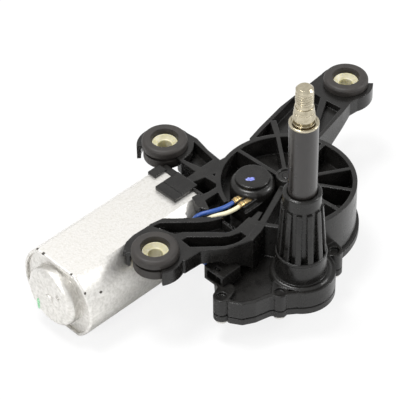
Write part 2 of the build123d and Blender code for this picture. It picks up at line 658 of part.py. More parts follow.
def end_bell():
    """Pressed rear end of the motor: a plate inside the rim and a round pan that holds the rear bearing."""
    face = CAN_REAR + BELL_RECESS
    inset = CAN_WALL + 0.02
    pan_start = CAN_REAR - PAN_LENGTH
    pan = rod(PAN_R, pan_start, face + 1)
    pan = fillet(pan.edges().sort_by(Axis.X)[0], PAN_CORNER)
    dome = fillet(rod(2.6, pan_start - 0.7, pan_start + 1).edges().sort_by(Axis.X)[0], 0.6)
    body = flatted_rod(CAN_R - inset, CAN_FLAT - inset, face, face + BELL_T) + pan + dome
    body -= rod(1.3, pan_start - 1, pan_start + 0.5, MOTOR_Y - 6.2, MOTOR_Z + 5.0)
    return body - rod(BEARING_SEAT_R, pan_start + BELL_T, face + BELL_T + 1)


def magnets():
    """Two ferrite shells against the round sides of the can."""
    outer = CAN_R - CAN_WALL - FIT
    start = MAGNET_START
    ring = pipe(outer, outer - MAGNET_T, start, start + MAGNET_LENGTH)
    pair = []
    for side in (1, -1):
        tangent = MAGNET_SPAN / 2
        wedge = [(0.0, 0.0), polar(60, -tangent), (90.0, 0.0), polar(60, tangent)]
        points = [(start - 1, MOTOR_Y + side * u, MOTOR_Z + v) for u, v in wedge]
        sector = extrude(make_face(Polyline(*points, close=True)), MAGNET_LENGTH + 2, dir=(1, 0, 0))
        pair.append(ring & sector)
    return pair


def magnet_clips():
    """Two sprung strips that press the magnets apart at the flats."""
    outer = CAN_R - CAN_WALL - FIT
    half = (outer - MAGNET_T / 2) * sin(radians(90 - MAGNET_SPAN / 2)) - 0.4
    clips = []
    for side in (1, -1):
        height = MOTOR_Z + side * (CAN_FLAT - CAN_WALL - 0.9)
        clips.append(block(
            MAGNET_START + 2, MAGNET_START + MAGNET_LENGTH - 2, MOTOR_Y - half, MOTOR_Y + half,
            height - 0.5, height + 0.5))
    return clips


def rear_bearing():
    """Sintered bush in the rear boss."""
    start = CAN_REAR - PAN_LENGTH + BELL_T + THRUST_PAD_T + 0.1
    return pipe(BEARING_SEAT_R - 0.02, MOTOR_SHAFT_R + RUNNING, start, CAN_REAR + BELL_RECESS)


def thrust_pad():
    """Hardened disc that takes the thrust of the shaft."""
    start = CAN_REAR - PAN_LENGTH + BELL_T + 0.03
    return rod(BEARING_SEAT_R - 2.0, start, start + THRUST_PAD_T)


def front_bearing():
    """Sintered bush between the motor and the worm."""
    return pipe(FRONT_BEARING_R, MOTOR_SHAFT_R + RUNNING, CAN_FRONT + 0.3, CAN_FRONT + 4.3)


def armature_shaft():
    """Steel shaft from the rear thrust pad to the end of the worm."""
    start = CAN_REAR - PAN_LENGTH + BELL_T + THRUST_PAD_T + 0.1
    return rod(MOTOR_SHAFT_R, start, WHEEL[0] + WORM_LENGTH / 2 + 2.5)


def armature_core():
    """Slotted lamination stack."""
    start = ARMATURE_START
    core = rod(ARMATURE_R, start, start + ARMATURE_LENGTH)
    slots = 8
    for i in range(slots):
        slot = Pos(start + ARMATURE_LENGTH / 2, 0, ARMATURE_R - 1.6) * Box(ARMATURE_LENGTH + 2, 2.0, 3.6)
        core -= Pos(0, MOTOR_Y, MOTOR_Z) * Rot(i * 360 / slots, 0, 0) * slot
    return core - rod(MOTOR_SHAFT_R + 0.02, start - 1, start + ARMATURE_LENGTH + 1)


def armature_windings():
    """Rings of enamelled copper at the two ends of the stack."""
    ends = []
    for start, length in ((ARMATURE_START - 7.0, 6.9), (ARMATURE_START + ARMATURE_LENGTH + 0.1, 6.9)):
        ring = pipe(ARMATURE_R - 1.4, MOTOR_SHAFT_R + 1.5, start, start + length)
        outer = [edge for edge in ring.edges() if edge.geom_type == GeomType.CIRCLE and edge.radius > 8]
        ends.append(fillet(outer, 2.4))
    return ends


def commutator():
    """Copper commutator with eight gaps between its bars."""
    start = COMMUTATOR_START
    drum_part = pipe(COMMUTATOR_R, MOTOR_SHAFT_R + 0.02, start, start + COMMUTATOR_LENGTH)
    for i in range(8):
        gap = Pos(start + COMMUTATOR_LENGTH / 2, 0, COMMUTATOR_R) * Box(COMMUTATOR_LENGTH - 2, 0.5, 1.2)
        drum_part -= Pos(0, MOTOR_Y, MOTOR_Z) * Rot(i * 45, 0, 0) * gap
    return drum_part


def worm():
    """Steel worm: a core and one helical thread, phased to sit in a gap of the wheel."""
    root_r = WORM_PITCH_R - TOOTH_DEDENDUM
    turns = 6
    start = WHEEL[0] - turns / 2 * LEAD
    half = (LEAD - BACKLASH) / 4
    slope = tan(radians(20))
    depth = TOOTH_DEDENDUM + TOOTH_ADDENDUM
    root_half = half + TOOTH_DEDENDUM * slope
    tip_half = half - TOOTH_ADDENDUM * slope
    path = Helix(LEAD, turns * LEAD, root_r)
    section = Polyline(
        (-0.25, -root_half), (depth, -tip_half), (depth, tip_half), (-0.25, root_half), close=True)
    at_start = Plane(origin=path @ 0, x_dir=(1, 0, 0), z_dir=path % 0)
    thread = sweep(at_start * make_face(section), path=path, is_frenet=True)
    core = Pos(0, 0, turns * LEAD / 2) * Cylinder(root_r, WORM_LENGTH)
    core -= Pos(0, 0, turns * LEAD / 2) * Cylinder(MOTOR_SHAFT_R + 0.02, WORM_LENGTH + 2)
    along_motor = Plane(origin=(start, MOTOR_Y, MOTOR_Z), x_dir=(0, -1, 0), z_dir=(1, 0, 0))
    return along_motor * (core + thread)


def brush_card():
    """Insulating card in the front of the can, with the two brush boxes."""
    start = CARD_START
    card = flatted_rod(CAN_R - CAN_WALL - 2.4, CAN_FLAT - CAN_WALL - 2.4, start, start + 1.8)
    card -= rod(COMMUTATOR_R + 1.2, start - 1, start + 3)
    for side in (1, -1):
        near = MOTOR_Y + side * (COMMUTATOR_R + 1.4)
        far = MOTOR_Y + side * (CAN_R - CAN_WALL - 3.4)
        low, high = min(near, far), max(near, far)
        card += block(start - 7.4, start + 0.5, low, high, MOTOR_Z - 4.0, MOTOR_Z + 4.0)
        card -= block(start - 6.2, start - 0.2, low - 1, high + 1, MOTOR_Z - 2.8, MOTOR_Z + 2.8)
    return card


def brushes():
    """Two carbon brushes in their boxes."""
    pair = []
    for side in (1, -1):
        near = MOTOR_Y + side * (COMMUTATOR_R + RUNNING)
        far = near + side * BRUSH_LENGTH
        low, high = min(near, far), max(near, far)
        brush = block(CARD_START - 6.1, CARD_START - 0.3, low, high, MOTOR_Z - 2.7, MOTOR_Z + 2.7)
        pair.append(brush - rod(COMMUTATOR_R + RUNNING, CARD_START - 8, CARD_START + 1))
    return pair


def brush_springs():
    """Two coil springs behind the brushes."""
    outer_end = CAN_R - CAN_WALL - 0.3
    inner_end = COMMUTATOR_R + RUNNING + BRUSH_LENGTH + 0.05
    length = outer_end - inner_end
    wire = 0.5
    turns = 3
    path = Helix((length - wire) / turns, length - wire, 1.7)
    square = Plane(origin=path @ 0, x_dir=(1, 0, 0), z_dir=path % 0) * Rectangle(wire, wire)
    coil = sweep(square, path=path, is_frenet=True)
    pair = []
    for side in (1, -1):
        seat = Plane(origin=(CARD_START - 3.2, MOTOR_Y + side * (inner_end + wire / 2), MOTOR_Z),
                     x_dir=(1, 0, 0), z_dir=(0, side, 0))
        pair.append(seat * coil)
    return pair


# ------------------------------------------------------------------ wheel and linkage
def worm_wheel():
    """Moulded wheel: toothed rim, web, hub, and teeth slanted to the worm's lead."""
    root_r = WHEEL_PITCH_R - TOOTH_DEDENDUM
    tip_r = WHEEL_PITCH_R + TOOTH_ADDENDUM
    half = (LEAD - BACKLASH) / 4
    slope = tan(radians(20))
    root_half = half + TOOTH_DEDENDUM * slope
    tip_half = half - TOOTH_ADDENDUM * slope
    lean = tan(radians(LEAD_ANGLE))
    rise = WHEEL_T / cos(radians(LEAD_ANGLE))
    shift = -WHEEL_T / 2 * lean
    section = face_of([(root_r - 0.4, shift - root_half), (tip_r, shift - tip_half),
                       (tip_r, shift + tip_half), (root_r - 0.4, shift + root_half)])
    tooth = extrude(Pos(0, 0, WHEEL_BOTTOM) * section, rise, dir=(0, lean, 1))
    pitch_angle = 360 / WHEEL_TEETH
    teeth = [Rot(0, 0, 90 + (i + 0.5) * pitch_angle) * tooth for i in range(WHEEL_TEETH)]
    body = disc(root_r, WHEEL_BOTTOM, WHEEL_TOP) + teeth
    body -= tube(root_r - RIM_T, WHEEL_HUB_R, WHEEL_TOP - (WHEEL_T - WEB_T) / 2, WHEEL_TOP + 1)
    body -= tube(root_r - RIM_T, WHEEL_HUB_R, WHEEL_BOTTOM - 1, WHEEL_BOTTOM + (WHEEL_T - WEB_T) / 2)
    body = Pos(*WHEEL) * body
    body -= disc(AXLE_R + RUNNING, WHEEL_BOTTOM - 1, WHEEL_TOP + 1, WHEEL)
    return body - disc(LINK_PIN_R + 0.02, WHEEL_BOTTOM - 1, WHEEL_TOP - 1.5, CRANK_PIN)


def wheel_axle():
    """Steel pin pressed into the drum's centre boss."""
    return disc(AXLE_R, WHEEL_BOTTOM - 0.1, AXLE_BOSS_TOP - 1.05, WHEEL)


def contact_disc():
    """Brass park disc on the wheel's hub and rim, with the notch that stops the motor."""
    top = WHEEL_TOP + CONTACT_T
    ring = tube(CONTACT_R, WHEEL_HUB_R - 5.0, WHEEL_TOP, top, WHEEL)
    notch = prism(fan(WHEEL, 2 * CONTACT_R, 140, 158), WHEEL_TOP - 1, top + 1)
    return ring - (notch - disc(WHEEL_HUB_R - 1.0, WHEEL_TOP - 2, top + 2, WHEEL))


def crank_pin():
    """Steel pin pressed into the wheel; it stops just above the coupler's eye."""
    return disc(LINK_PIN_R, SECTOR_TOP + 0.3, WHEEL_TOP - 1.52, CRANK_PIN)


def sector_link():
    """Coupler with the toothed sector at one end and the crank eye at the other."""
    face = bar_face(CRANK_PIN, PIVOT, LINK_EYE_R, LINK_EYE_R)
    mesh_angle = ROCKER_REST + 180
    pitch_angle = 360 / SECTOR_TEETH
    last = int(SECTOR_ROLL / pitch_angle) + 2
    root_r = SECTOR_R - 1.15 * SECTOR_MODULE
    span = (mesh_angle - 0.6 * pitch_angle, mesh_angle + (last + 0.45) * pitch_angle)
    face += fan(PIVOT, root_r, *span)
    for i in range(last + 1):
        face += spur_tooth(SECTOR_TEETH, SECTOR_MODULE, PIVOT, mesh_angle + i * pitch_angle)
    body = prism(face, SECTOR_BOTTOM, SECTOR_TOP)
    body -= disc(LINK_PIN_R + RUNNING, SECTOR_BOTTOM - 1, SECTOR_TOP + 1, PIVOT)
    return body - disc(LINK_PIN_R + RUNNING, SECTOR_BOTTOM - 1, SECTOR_TOP + 1, CRANK_PIN)


def rocker_plate():
    """Steel plate that holds the sector's pivot at one distance from the spindle."""
    face = bar_face((0, 0), PIVOT, SHAFT_R + 2.6, LINK_EYE_R - 0.2)
    body = prism(face, ROCKER_BOTTOM, ROCKER_TOP)
    body -= disc(SHAFT_R + RUNNING, ROCKER_BOTTOM - 1, ROCKER_TOP + 1)
    return body - disc(LINK_PIN_R + 0.02, ROCKER_BOTTOM - 1, ROCKER_TOP + 1, PIVOT)


def pivot_pin():
    """Pin riveted into the rocker plate; the sector turns on it."""
    return disc(LINK_PIN_R, SECTOR_BOTTOM + 0.1, ROCKER_TOP + 0.5, PIVOT)


def spindle_pinion():
    """Steel pinion on the foot of the spindle."""
    face = Circle(PINION_R - 1.15 * SECTOR_MODULE)
    pitch_angle = 360 / PINION_TEETH
    for i in range(PINION_TEETH):
        face += spur_tooth(PINION_TEETH, SECTOR_MODULE, (0, 0), ROCKER_REST + (i + 0.5) * pitch_angle)
    return prism(face, SECTOR_BOTTOM, SECTOR_TOP) - disc(SHAFT_R + 0.02, SECTOR_BOTTOM - 1, SECTOR_TOP + 1)


def output_spindle():
    """Steel spindle: journal, tapered seat of the wiper arm, and threaded end."""
    body = disc(SHAFT_R, SECTOR_BOTTOM, KNURL_BOTTOM)
    body += cone(KNURL_R, THREAD_R + 0.4, KNURL_BOTTOM, KNURL_TOP)
    end = disc(THREAD_R, KNURL_TOP, SHAFT_TOP)
    return body + chamfer(end.edges().sort_by(Axis.Z)[-1], 0.9)


def spindle_sleeve():
    """Black coated steel tube that carries the spindle, pressed into the tower up to its step."""
    bore = SLEEVE_R - SLEEVE_WALL
    return tube(SLEEVE_FOOT_R, bore, SLEEVE_BOTTOM, SEAT_Z + 0.5) + tube(SLEEVE_R, bore, SEAT_Z, SLEEVE_TOP)


def spindle_bushes():
    """Bushes at both ends of the sleeve."""
    outer = SLEEVE_R - SLEEVE_WALL - 0.02
    spans = ((SLEEVE_TOP - 10, SLEEVE_TOP), (SLEEVE_BOTTOM, SLEEVE_BOTTOM + 9))
    return [tube(outer, SHAFT_R + RUNNING, bottom, top) for bottom, top in spans]


def sleeve_cap():
    """Bright pressed ring on the end of the sleeve."""
    bottom = SLEEVE_TOP + 0.02
    ring = tube(SLEEVE_R + 0.12, SHAFT_R + 0.6, bottom, bottom + 1.0)
    top_edges = ring.edges().filter_by(GeomType.CIRCLE).group_by(Axis.Z)[-1]
    ring = fillet(top_edges.sort_by(SortBy.RADIUS)[-1], 0.4)
    return ring - disc(SLEEVE_R - 0.9, bottom + 0.4, bottom + 2)


def retaining_ring():
    """Spring ring that stops the spindle above the upper bush."""
    return tube(SHAFT_R + 1.0, SHAFT_R + 0.01, SLEEVE_TOP + 1.3, SLEEVE_TOP + 2.1)


# ------------------------------------------------------------------ mounting points
def grommet(centre):
    """Rubber grommet with a groove for its eye."""
    body = disc(GROMMET_R, FIT, GROMMET_TOP, centre)
    top_rim = body.edges().filter_by(GeomType.CIRCLE).sort_by(Axis.Z)[-1]
    body = fillet(top_rim, GROMMET_CORNER)
    body += disc(GROOVE_R, -EYE_PLATE_T - 1, 1, centre)
    body += disc(GROMMET_FOOT_R, GROMMET_BOTTOM, -EYE_PLATE_T - 0.15, centre)
    body -= disc(BUSH_R + 0.02, GROMMET_BOTTOM - 1, GROMMET_TOP + 1, centre)
    return body - cone(BUSH_R, BUSH_R + MOUTH_FLARE, BUSH_TOP, GROMMET_TOP + 0.05, centre)


def spacer_bush(centre):
    """Plastic spacer that the fixing screw passes through, with a conical mouth."""
    body = tube(BUSH_R, BUSH_BORE_R, BUSH_BOTTOM, BUSH_TOP, centre)
    return body - cone(BUSH_BORE_R, BUSH_MOUTH_R, BUSH_TOP - BUSH_MOUTH_DEPTH, BUSH_TOP, centre)


# ------------------------------------------------------------------ park switch and leads
def park_switch_cap():
    """Round cap of the park switch, with a rounded shoulder and a shelf for the terminals."""
    body = disc(CAP_R, FLOOR_Z + 0.02, CAP_SHOULDER, CAP_CENTRE)
    body = fillet(body.edges().sort_by(Axis.Z)[-1], CAP_CORNER)
    body += disc(CAP_TOP_R, CAP_SHOULDER - 1, CAP_TOP, CAP_CENTRE)
    body = fillet(body.edges().sort_by(Axis.Z)[-1], 0.6)
    body += disc(CAP_R - 2.6, FLOOR_Z - FLOOR_T, FLOOR_Z + 1, CAP_CENTRE)
    shelf_top = TERMINAL_Z - 2.0
    body += block(
        TERMINAL_X - 3.0, CAP_CENTRE[0], TERMINAL_Y[1] - 4.2, TERMINAL_Y[0] + 1.8, FLOOR_Z + 0.02, shelf_top)
    middle = (TERMINAL_Y[0] + TERMINAL_Y[1]) / 2
    for y, thickness in ((middle, 0.4), (TERMINAL_Y[1] - 2.4, 0.8)):
        body += block(
            TERMINAL_X - 3.0, CAP_CENTRE[0], y - thickness / 2, y + thickness / 2, shelf_top - 1,
            TERMINAL_Z + 0.8)
    for y in TERMINAL_Y:
        body -= terminal_body(y, 0.05)
    return body


def terminal_body(y, grow=0.0):
    """Blade of one crimp terminal where it enters the cap."""
    return block(TERMINAL_X - 0.2 - grow, CAP_CENTRE[0] - CAP_TOP_R + 3, y - 1.3 - grow, y + 1.3 + grow,
                 TERMINAL_Z - 0.4 - grow, TERMINAL_Z + 0.4 + grow)


def crimp_terminals():
    """Two brass blades with crimped barrels for the leads."""
    pair = []
    for y in TERMINAL_Y:
        barrel = pipe(WIRE_R + 0.5, WIRE_R + 0.03, TERMINAL_X - 3.4, TERMINAL_X + 0.2, y, TERMINAL_Z)
        waist = pipe(WIRE_R + 0.7, WIRE_R + 0.3, TERMINAL_X - 2.0, TERMINAL_X - 1.2, y, TERMINAL_Z)
        pair.append(terminal_body(y) + barrel + waist)
    return pair


def park_contacts():
    """Sprung fingers under the cap that touch the park disc."""
    fingers = []
    foot = FLOOR_Z - FLOOR_T
    for offset_y in (-4.0, 0.0, 4.0):
        x, y = CAP_CENTRE[0], CAP_CENTRE[1] + offset_y
        strip = block(x - 4.5, x + 3.0, y - 0.9, y + 0.9, foot - 0.42, foot - 0.02)
        leg = block(x + 2.6, x + 3.0, y - 0.9, y + 0.9, WHEEL_TOP + CONTACT_T + 0.35, foot - 0.3)
        tip_bottom = WHEEL_TOP + CONTACT_T + 0.35
        tip = block(x + 1.4, x + 3.0, y - 0.9, y + 0.9, tip_bottom, tip_bottom + 0.4)
        fingers.append(strip + leg + tip)
    return fingers


def lead(points):
    """Insulated wire along straight runs joined by large tangent arcs."""
    radii = []
    for before, at, after in zip(points, points[1:], points[2:]):
        run_in = Vector(*at) - Vector(*before)
        run_out = Vector(*after) - Vector(*at)
        turn = radians(run_in.get_angle(run_out))
        radii.append(0.45 * min(run_in.length, run_out.length) / tan(turn / 2))
    print("lead bend radii", [round(radius, 1) for radius in radii])
    path = FilletPolyline(*points, radius=radii)
    tube_body = sweep(Plane(origin=path @ 0, z_dir=path % 0) * Circle(WIRE_R), path=path)
    ratio = tube_body.volume / (pi * WIRE_R ** 2 * path.length)
    print("lead volume over section times length", round(ratio, 4))
    return tube_body


def connector_socket():
    """Plug socket under the near arm, its mouth towards the rear of the motor."""
    x0, x1, y0, y1, z0, z1 = SOCKET_BOX
    body = block(x0, x1 - FIT, y0 + FIT, y1 - FIT, z0 + FIT, z1 - FIT)
    body -= block(x0 - 1, x1 - 3.2, y0 + 1.6, y1 - 1.6, z0 + 1.5, z1 - 1.5)
    body -= block(x0 + 2.0, x0 + 4.0, y0 + 4.4, y1 - 4.4, z1 - 2, z1 + 1)
    for y in PIN_Y:
        body -= block(x1 - 4, x1 + 1, y - 0.45, y + 0.45, PIN_Z - 0.85, PIN_Z + 0.85)
    return body


def connector_pins():
    """Three tin-plated blades in the socket."""
    x0, x1 = SOCKET_BOX[:2]
    start, end = x0 + PIN_RECESS, x1 - FIT - 0.05
    return [block(start, end, y - 0.4, y + 0.4, PIN_Z - 0.8, PIN_Z + 0.8) for y in PIN_Y]


# ------------------------------------------------------------------ export
def save(name, shape):
    """Write one sub-part, moved so that the collar seat is at z = 0."""
    solids = shape if isinstance(shape, list) else [shape]
    solids = [solid for item in solids for solid in item.solids()]
    placed = [Pos(0, 0, -SEAT_Z) * solid for solid in solids]
    export_step(Compound(children=placed) if len(placed) > 1 else placed[0], f"parts/{name}.step")


LEAD_EXIT_X = (-29.4, -25.6)
LEAD_EXIT_Y = SOCKET_BOX[3] - FIT
BLUE_ROUTE = [(TERMINAL_X - 0.4, TERMINAL_Y[0], TERMINAL_Z), (-5.2, TERMINAL_Y[0], TERMINAL_Z),
              (-10.4, 43.0, -0.2), (-14.8, 45.0, -0.2), (-18.8, 47.9, -1.2), (-21.8, 49.8, -4.8),
              (-23.6, 48.4, -9.8), (-26.4, 43.0, -13.4), (LEAD_EXIT_X[0], 36.2, PIN_Z),
              (LEAD_EXIT_X[0], LEAD_EXIT_Y, PIN_Z)]
CREAM_ROUTE = [(TERMINAL_X - 0.4, TERMINAL_Y[1], TERMINAL_Z), (-5.0, TERMINAL_Y[1], TERMINAL_Z),
               (-9.6, 39.7, -1.2), (-13.2, 41.9, -1.4), (-16.6, 44.6, -3.0), (-19.2, 46.4, -6.8),
               (-21.0, 44.8, -11.2), (-23.4, 40.4, -13.8), (LEAD_EXIT_X[1], 34.8, PIN_Z),
               (LEAD_EXIT_X[1], LEAD_EXIT_Y, PIN_Z)]

NODES = {
    "gear_housing": gear_housing,
    "gear_cover": gear_cover,
    "cover_gasket": cover_gasket,
    "cover_screws": cover_screws,
    "motor_can": motor_can,
    "end_bell": end_bell,
    "magnets": magnets,
    "magnet_clips": magnet_clips,
    "rear_bearing": rear_bearing,
    "thrust_pad": thrust_pad,
    "front_bearing": front_bearing,
    "armature_shaft": armature_shaft,
    "armature_core": armature_core,
    "armature_windings": armature_windings,
    "commutator": commutator,
    "worm": worm,
    "brush_card": brush_card,
    "brushes": brushes,
    "brush_springs": brush_springs,
    "worm_wheel": worm_wheel,
    "wheel_axle": wheel_axle,
    "contact_disc": contact_disc,
    "crank_pin": crank_pin,
    "sector_link": sector_link,
    "rocker_plate": rocker_plate,
    "pivot_pin": pivot_pin,
    "spindle_pinion": spindle_pinion,
    "output_spindle": output_spindle,
    "spindle_sleeve": spindle_sleeve,
    "spindle_bushes": spindle_bushes,
    "sleeve_cap": sleeve_cap,
    "retaining_ring": retaining_ring,
    "park_switch_cap": park_switch_cap,
    "crimp_terminals": crimp_terminals,
    "park_contacts": park_contacts,
    "connector_socket": connector_socket,
    "connector_pins": connector_pins,
}

if __name__ == "__main__":
    for name, make in NODES.items():
        save(name, make())
    for number, centre in enumerate(EYES, start=1):
        save(f"grommet_{number}", grommet(centre))
        save(f"spacer_bush_{number}", spacer_bush(centre))
    save("blue_lead", lead(BLUE_ROUTE))
    save("cream_lead", lead(CREAM_ROUTE))
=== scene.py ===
"""Rear wiper motor, dressed for rendering.

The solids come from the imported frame; this script gives each of them its finish, adds the small
pieces that a mould or a press leaves on them, and sets the camera, the lamps and the pale floor.
"""
import json
import logging
import math
import random
from dataclasses import dataclass, field
from enum import Enum
from typing import Any, Iterable, Sequence

import bmesh
import bpy
from mathutils import Matrix, Vector


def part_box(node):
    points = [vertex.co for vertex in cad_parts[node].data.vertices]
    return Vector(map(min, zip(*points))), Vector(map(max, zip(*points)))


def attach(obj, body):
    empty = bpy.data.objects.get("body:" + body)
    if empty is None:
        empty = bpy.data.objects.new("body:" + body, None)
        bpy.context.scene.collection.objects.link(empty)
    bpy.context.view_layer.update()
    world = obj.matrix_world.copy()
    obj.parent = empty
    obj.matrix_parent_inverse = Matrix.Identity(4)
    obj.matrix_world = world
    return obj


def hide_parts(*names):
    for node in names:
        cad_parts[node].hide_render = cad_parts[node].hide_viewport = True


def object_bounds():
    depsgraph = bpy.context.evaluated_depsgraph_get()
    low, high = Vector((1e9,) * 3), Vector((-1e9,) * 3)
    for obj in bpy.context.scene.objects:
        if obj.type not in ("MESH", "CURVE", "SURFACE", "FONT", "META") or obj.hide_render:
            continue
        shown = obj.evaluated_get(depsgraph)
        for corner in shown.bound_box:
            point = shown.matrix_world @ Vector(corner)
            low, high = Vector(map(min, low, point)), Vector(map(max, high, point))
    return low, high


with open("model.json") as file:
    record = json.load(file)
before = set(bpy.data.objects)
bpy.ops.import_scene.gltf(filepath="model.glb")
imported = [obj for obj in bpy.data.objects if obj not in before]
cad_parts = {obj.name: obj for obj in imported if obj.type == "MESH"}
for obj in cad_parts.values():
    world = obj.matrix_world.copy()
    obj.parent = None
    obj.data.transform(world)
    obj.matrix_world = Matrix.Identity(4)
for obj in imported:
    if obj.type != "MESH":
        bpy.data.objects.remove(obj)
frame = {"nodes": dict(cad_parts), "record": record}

LOG = logging.getLogger("wiper_motor")
MM = 0.001
CAD_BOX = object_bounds()
CAP_DAB = (11.1, 43.8, -28.4)            # on top of the park switch's cap
STAKES = (                              # point, outward normal and radius of each stake mark
    ((-86.2, 84.0, -34.72), (0.0, 0.3, 1.0), 0.6), ((-86.3, 79.75, -34.7), (0.0, 0.0, 1.0), 0.8),
    ((-86.3, 60.6, -34.7), (0.0, 0.0, 1.0), 0.6), ((-78.5, 50.05, -44.2), (0.0, -0.911, 0.412), 0.75),
    ((-86.2, 51.9, -40.87), (0.0, -0.83, 0.558), 0.6), ((-74.0, 55.97, -71.1), (0.0, -0.653, -0.757), 0.7))
BELL_DAB = (-92.2, 78.9, -62.3)         # on the flat rear face of the end bell

MIX_FACTOR, MIX_FIRST, MIX_SECOND = 0, 6, 7   # colour sockets of a mix node
MIX_RESULT = 2
PATCH_EDGES = (0.38, 0.66)              # noise values where a patch begins and is full
ROUGH_EDGES = (0.3, 0.7)                # noise values of the smoothest and the roughest spots
FLECK_EDGES = (0.6, 0.75)               # noise values where a fleck begins and is full
SOAK_SHARE = 0.5                        # share of light that soaks into a translucent plastic
SOAK_COLOUR = (1.0, 0.9, 0.5)           # how far red, green and blue soak in, against each other


def linear(hex_colour: str) -> tuple[float, float, float, float]:
    """Turn an sRGB hex value into linear RGBA.

    Args:
        hex_colour: Six hex digits, such as "1c1b1a".

    Returns:
        The linear colour, with an alpha of 1.
    """
    channels = [int(hex_colour[i:i + 2], 16) / 255 for i in (0, 2, 4)]
    values = [c / 12.92 if c <= 0.04045 else ((c + 0.055) / 1.055) ** 2.4 for c in channels]
    return (values[0], values[1], values[2], 1.0)


def per_metre(size_mm: float) -> float:
    """Noise scale whose features are about one size across.

    Args:
        size_mm: Size of one feature in millimetres.

    Returns:
        The scale for a texture read in object coordinates, which are metres.
    """
    return 1.0 / (size_mm * MM)


def add_node(tree: bpy.types.NodeTree, kind: str, settings: dict[str, Any] | None = None,
             inputs: dict[str | int, Any] | None = None) -> bpy.types.Node:
    """Add a shader node with its settings, values and links.

    Args:
        tree: Node tree that gets the node.
        kind: Blender's name of the node type.
        settings: Attributes of the node.
        inputs: Socket name or number to a plain value or to another node's output socket.

    Returns:
        The new node.
    """
    node = tree.nodes.new(kind)
    for name, value in (settings or {}).items():
        setattr(node, name, value)
    for name, value in (inputs or {}).items():
        if isinstance(value, bpy.types.NodeSocket):
            tree.links.new(value, node.inputs[name])
        else:
            node.inputs[name].default_value = value
    return node


class Making(Enum):
    """How the surface of a finish was made."""

    MOULDED = "moulded"
    PLATED = "plated"
    MACHINED = "machined"
    DRAWN = "drawn"
    PRESSED = "pressed"


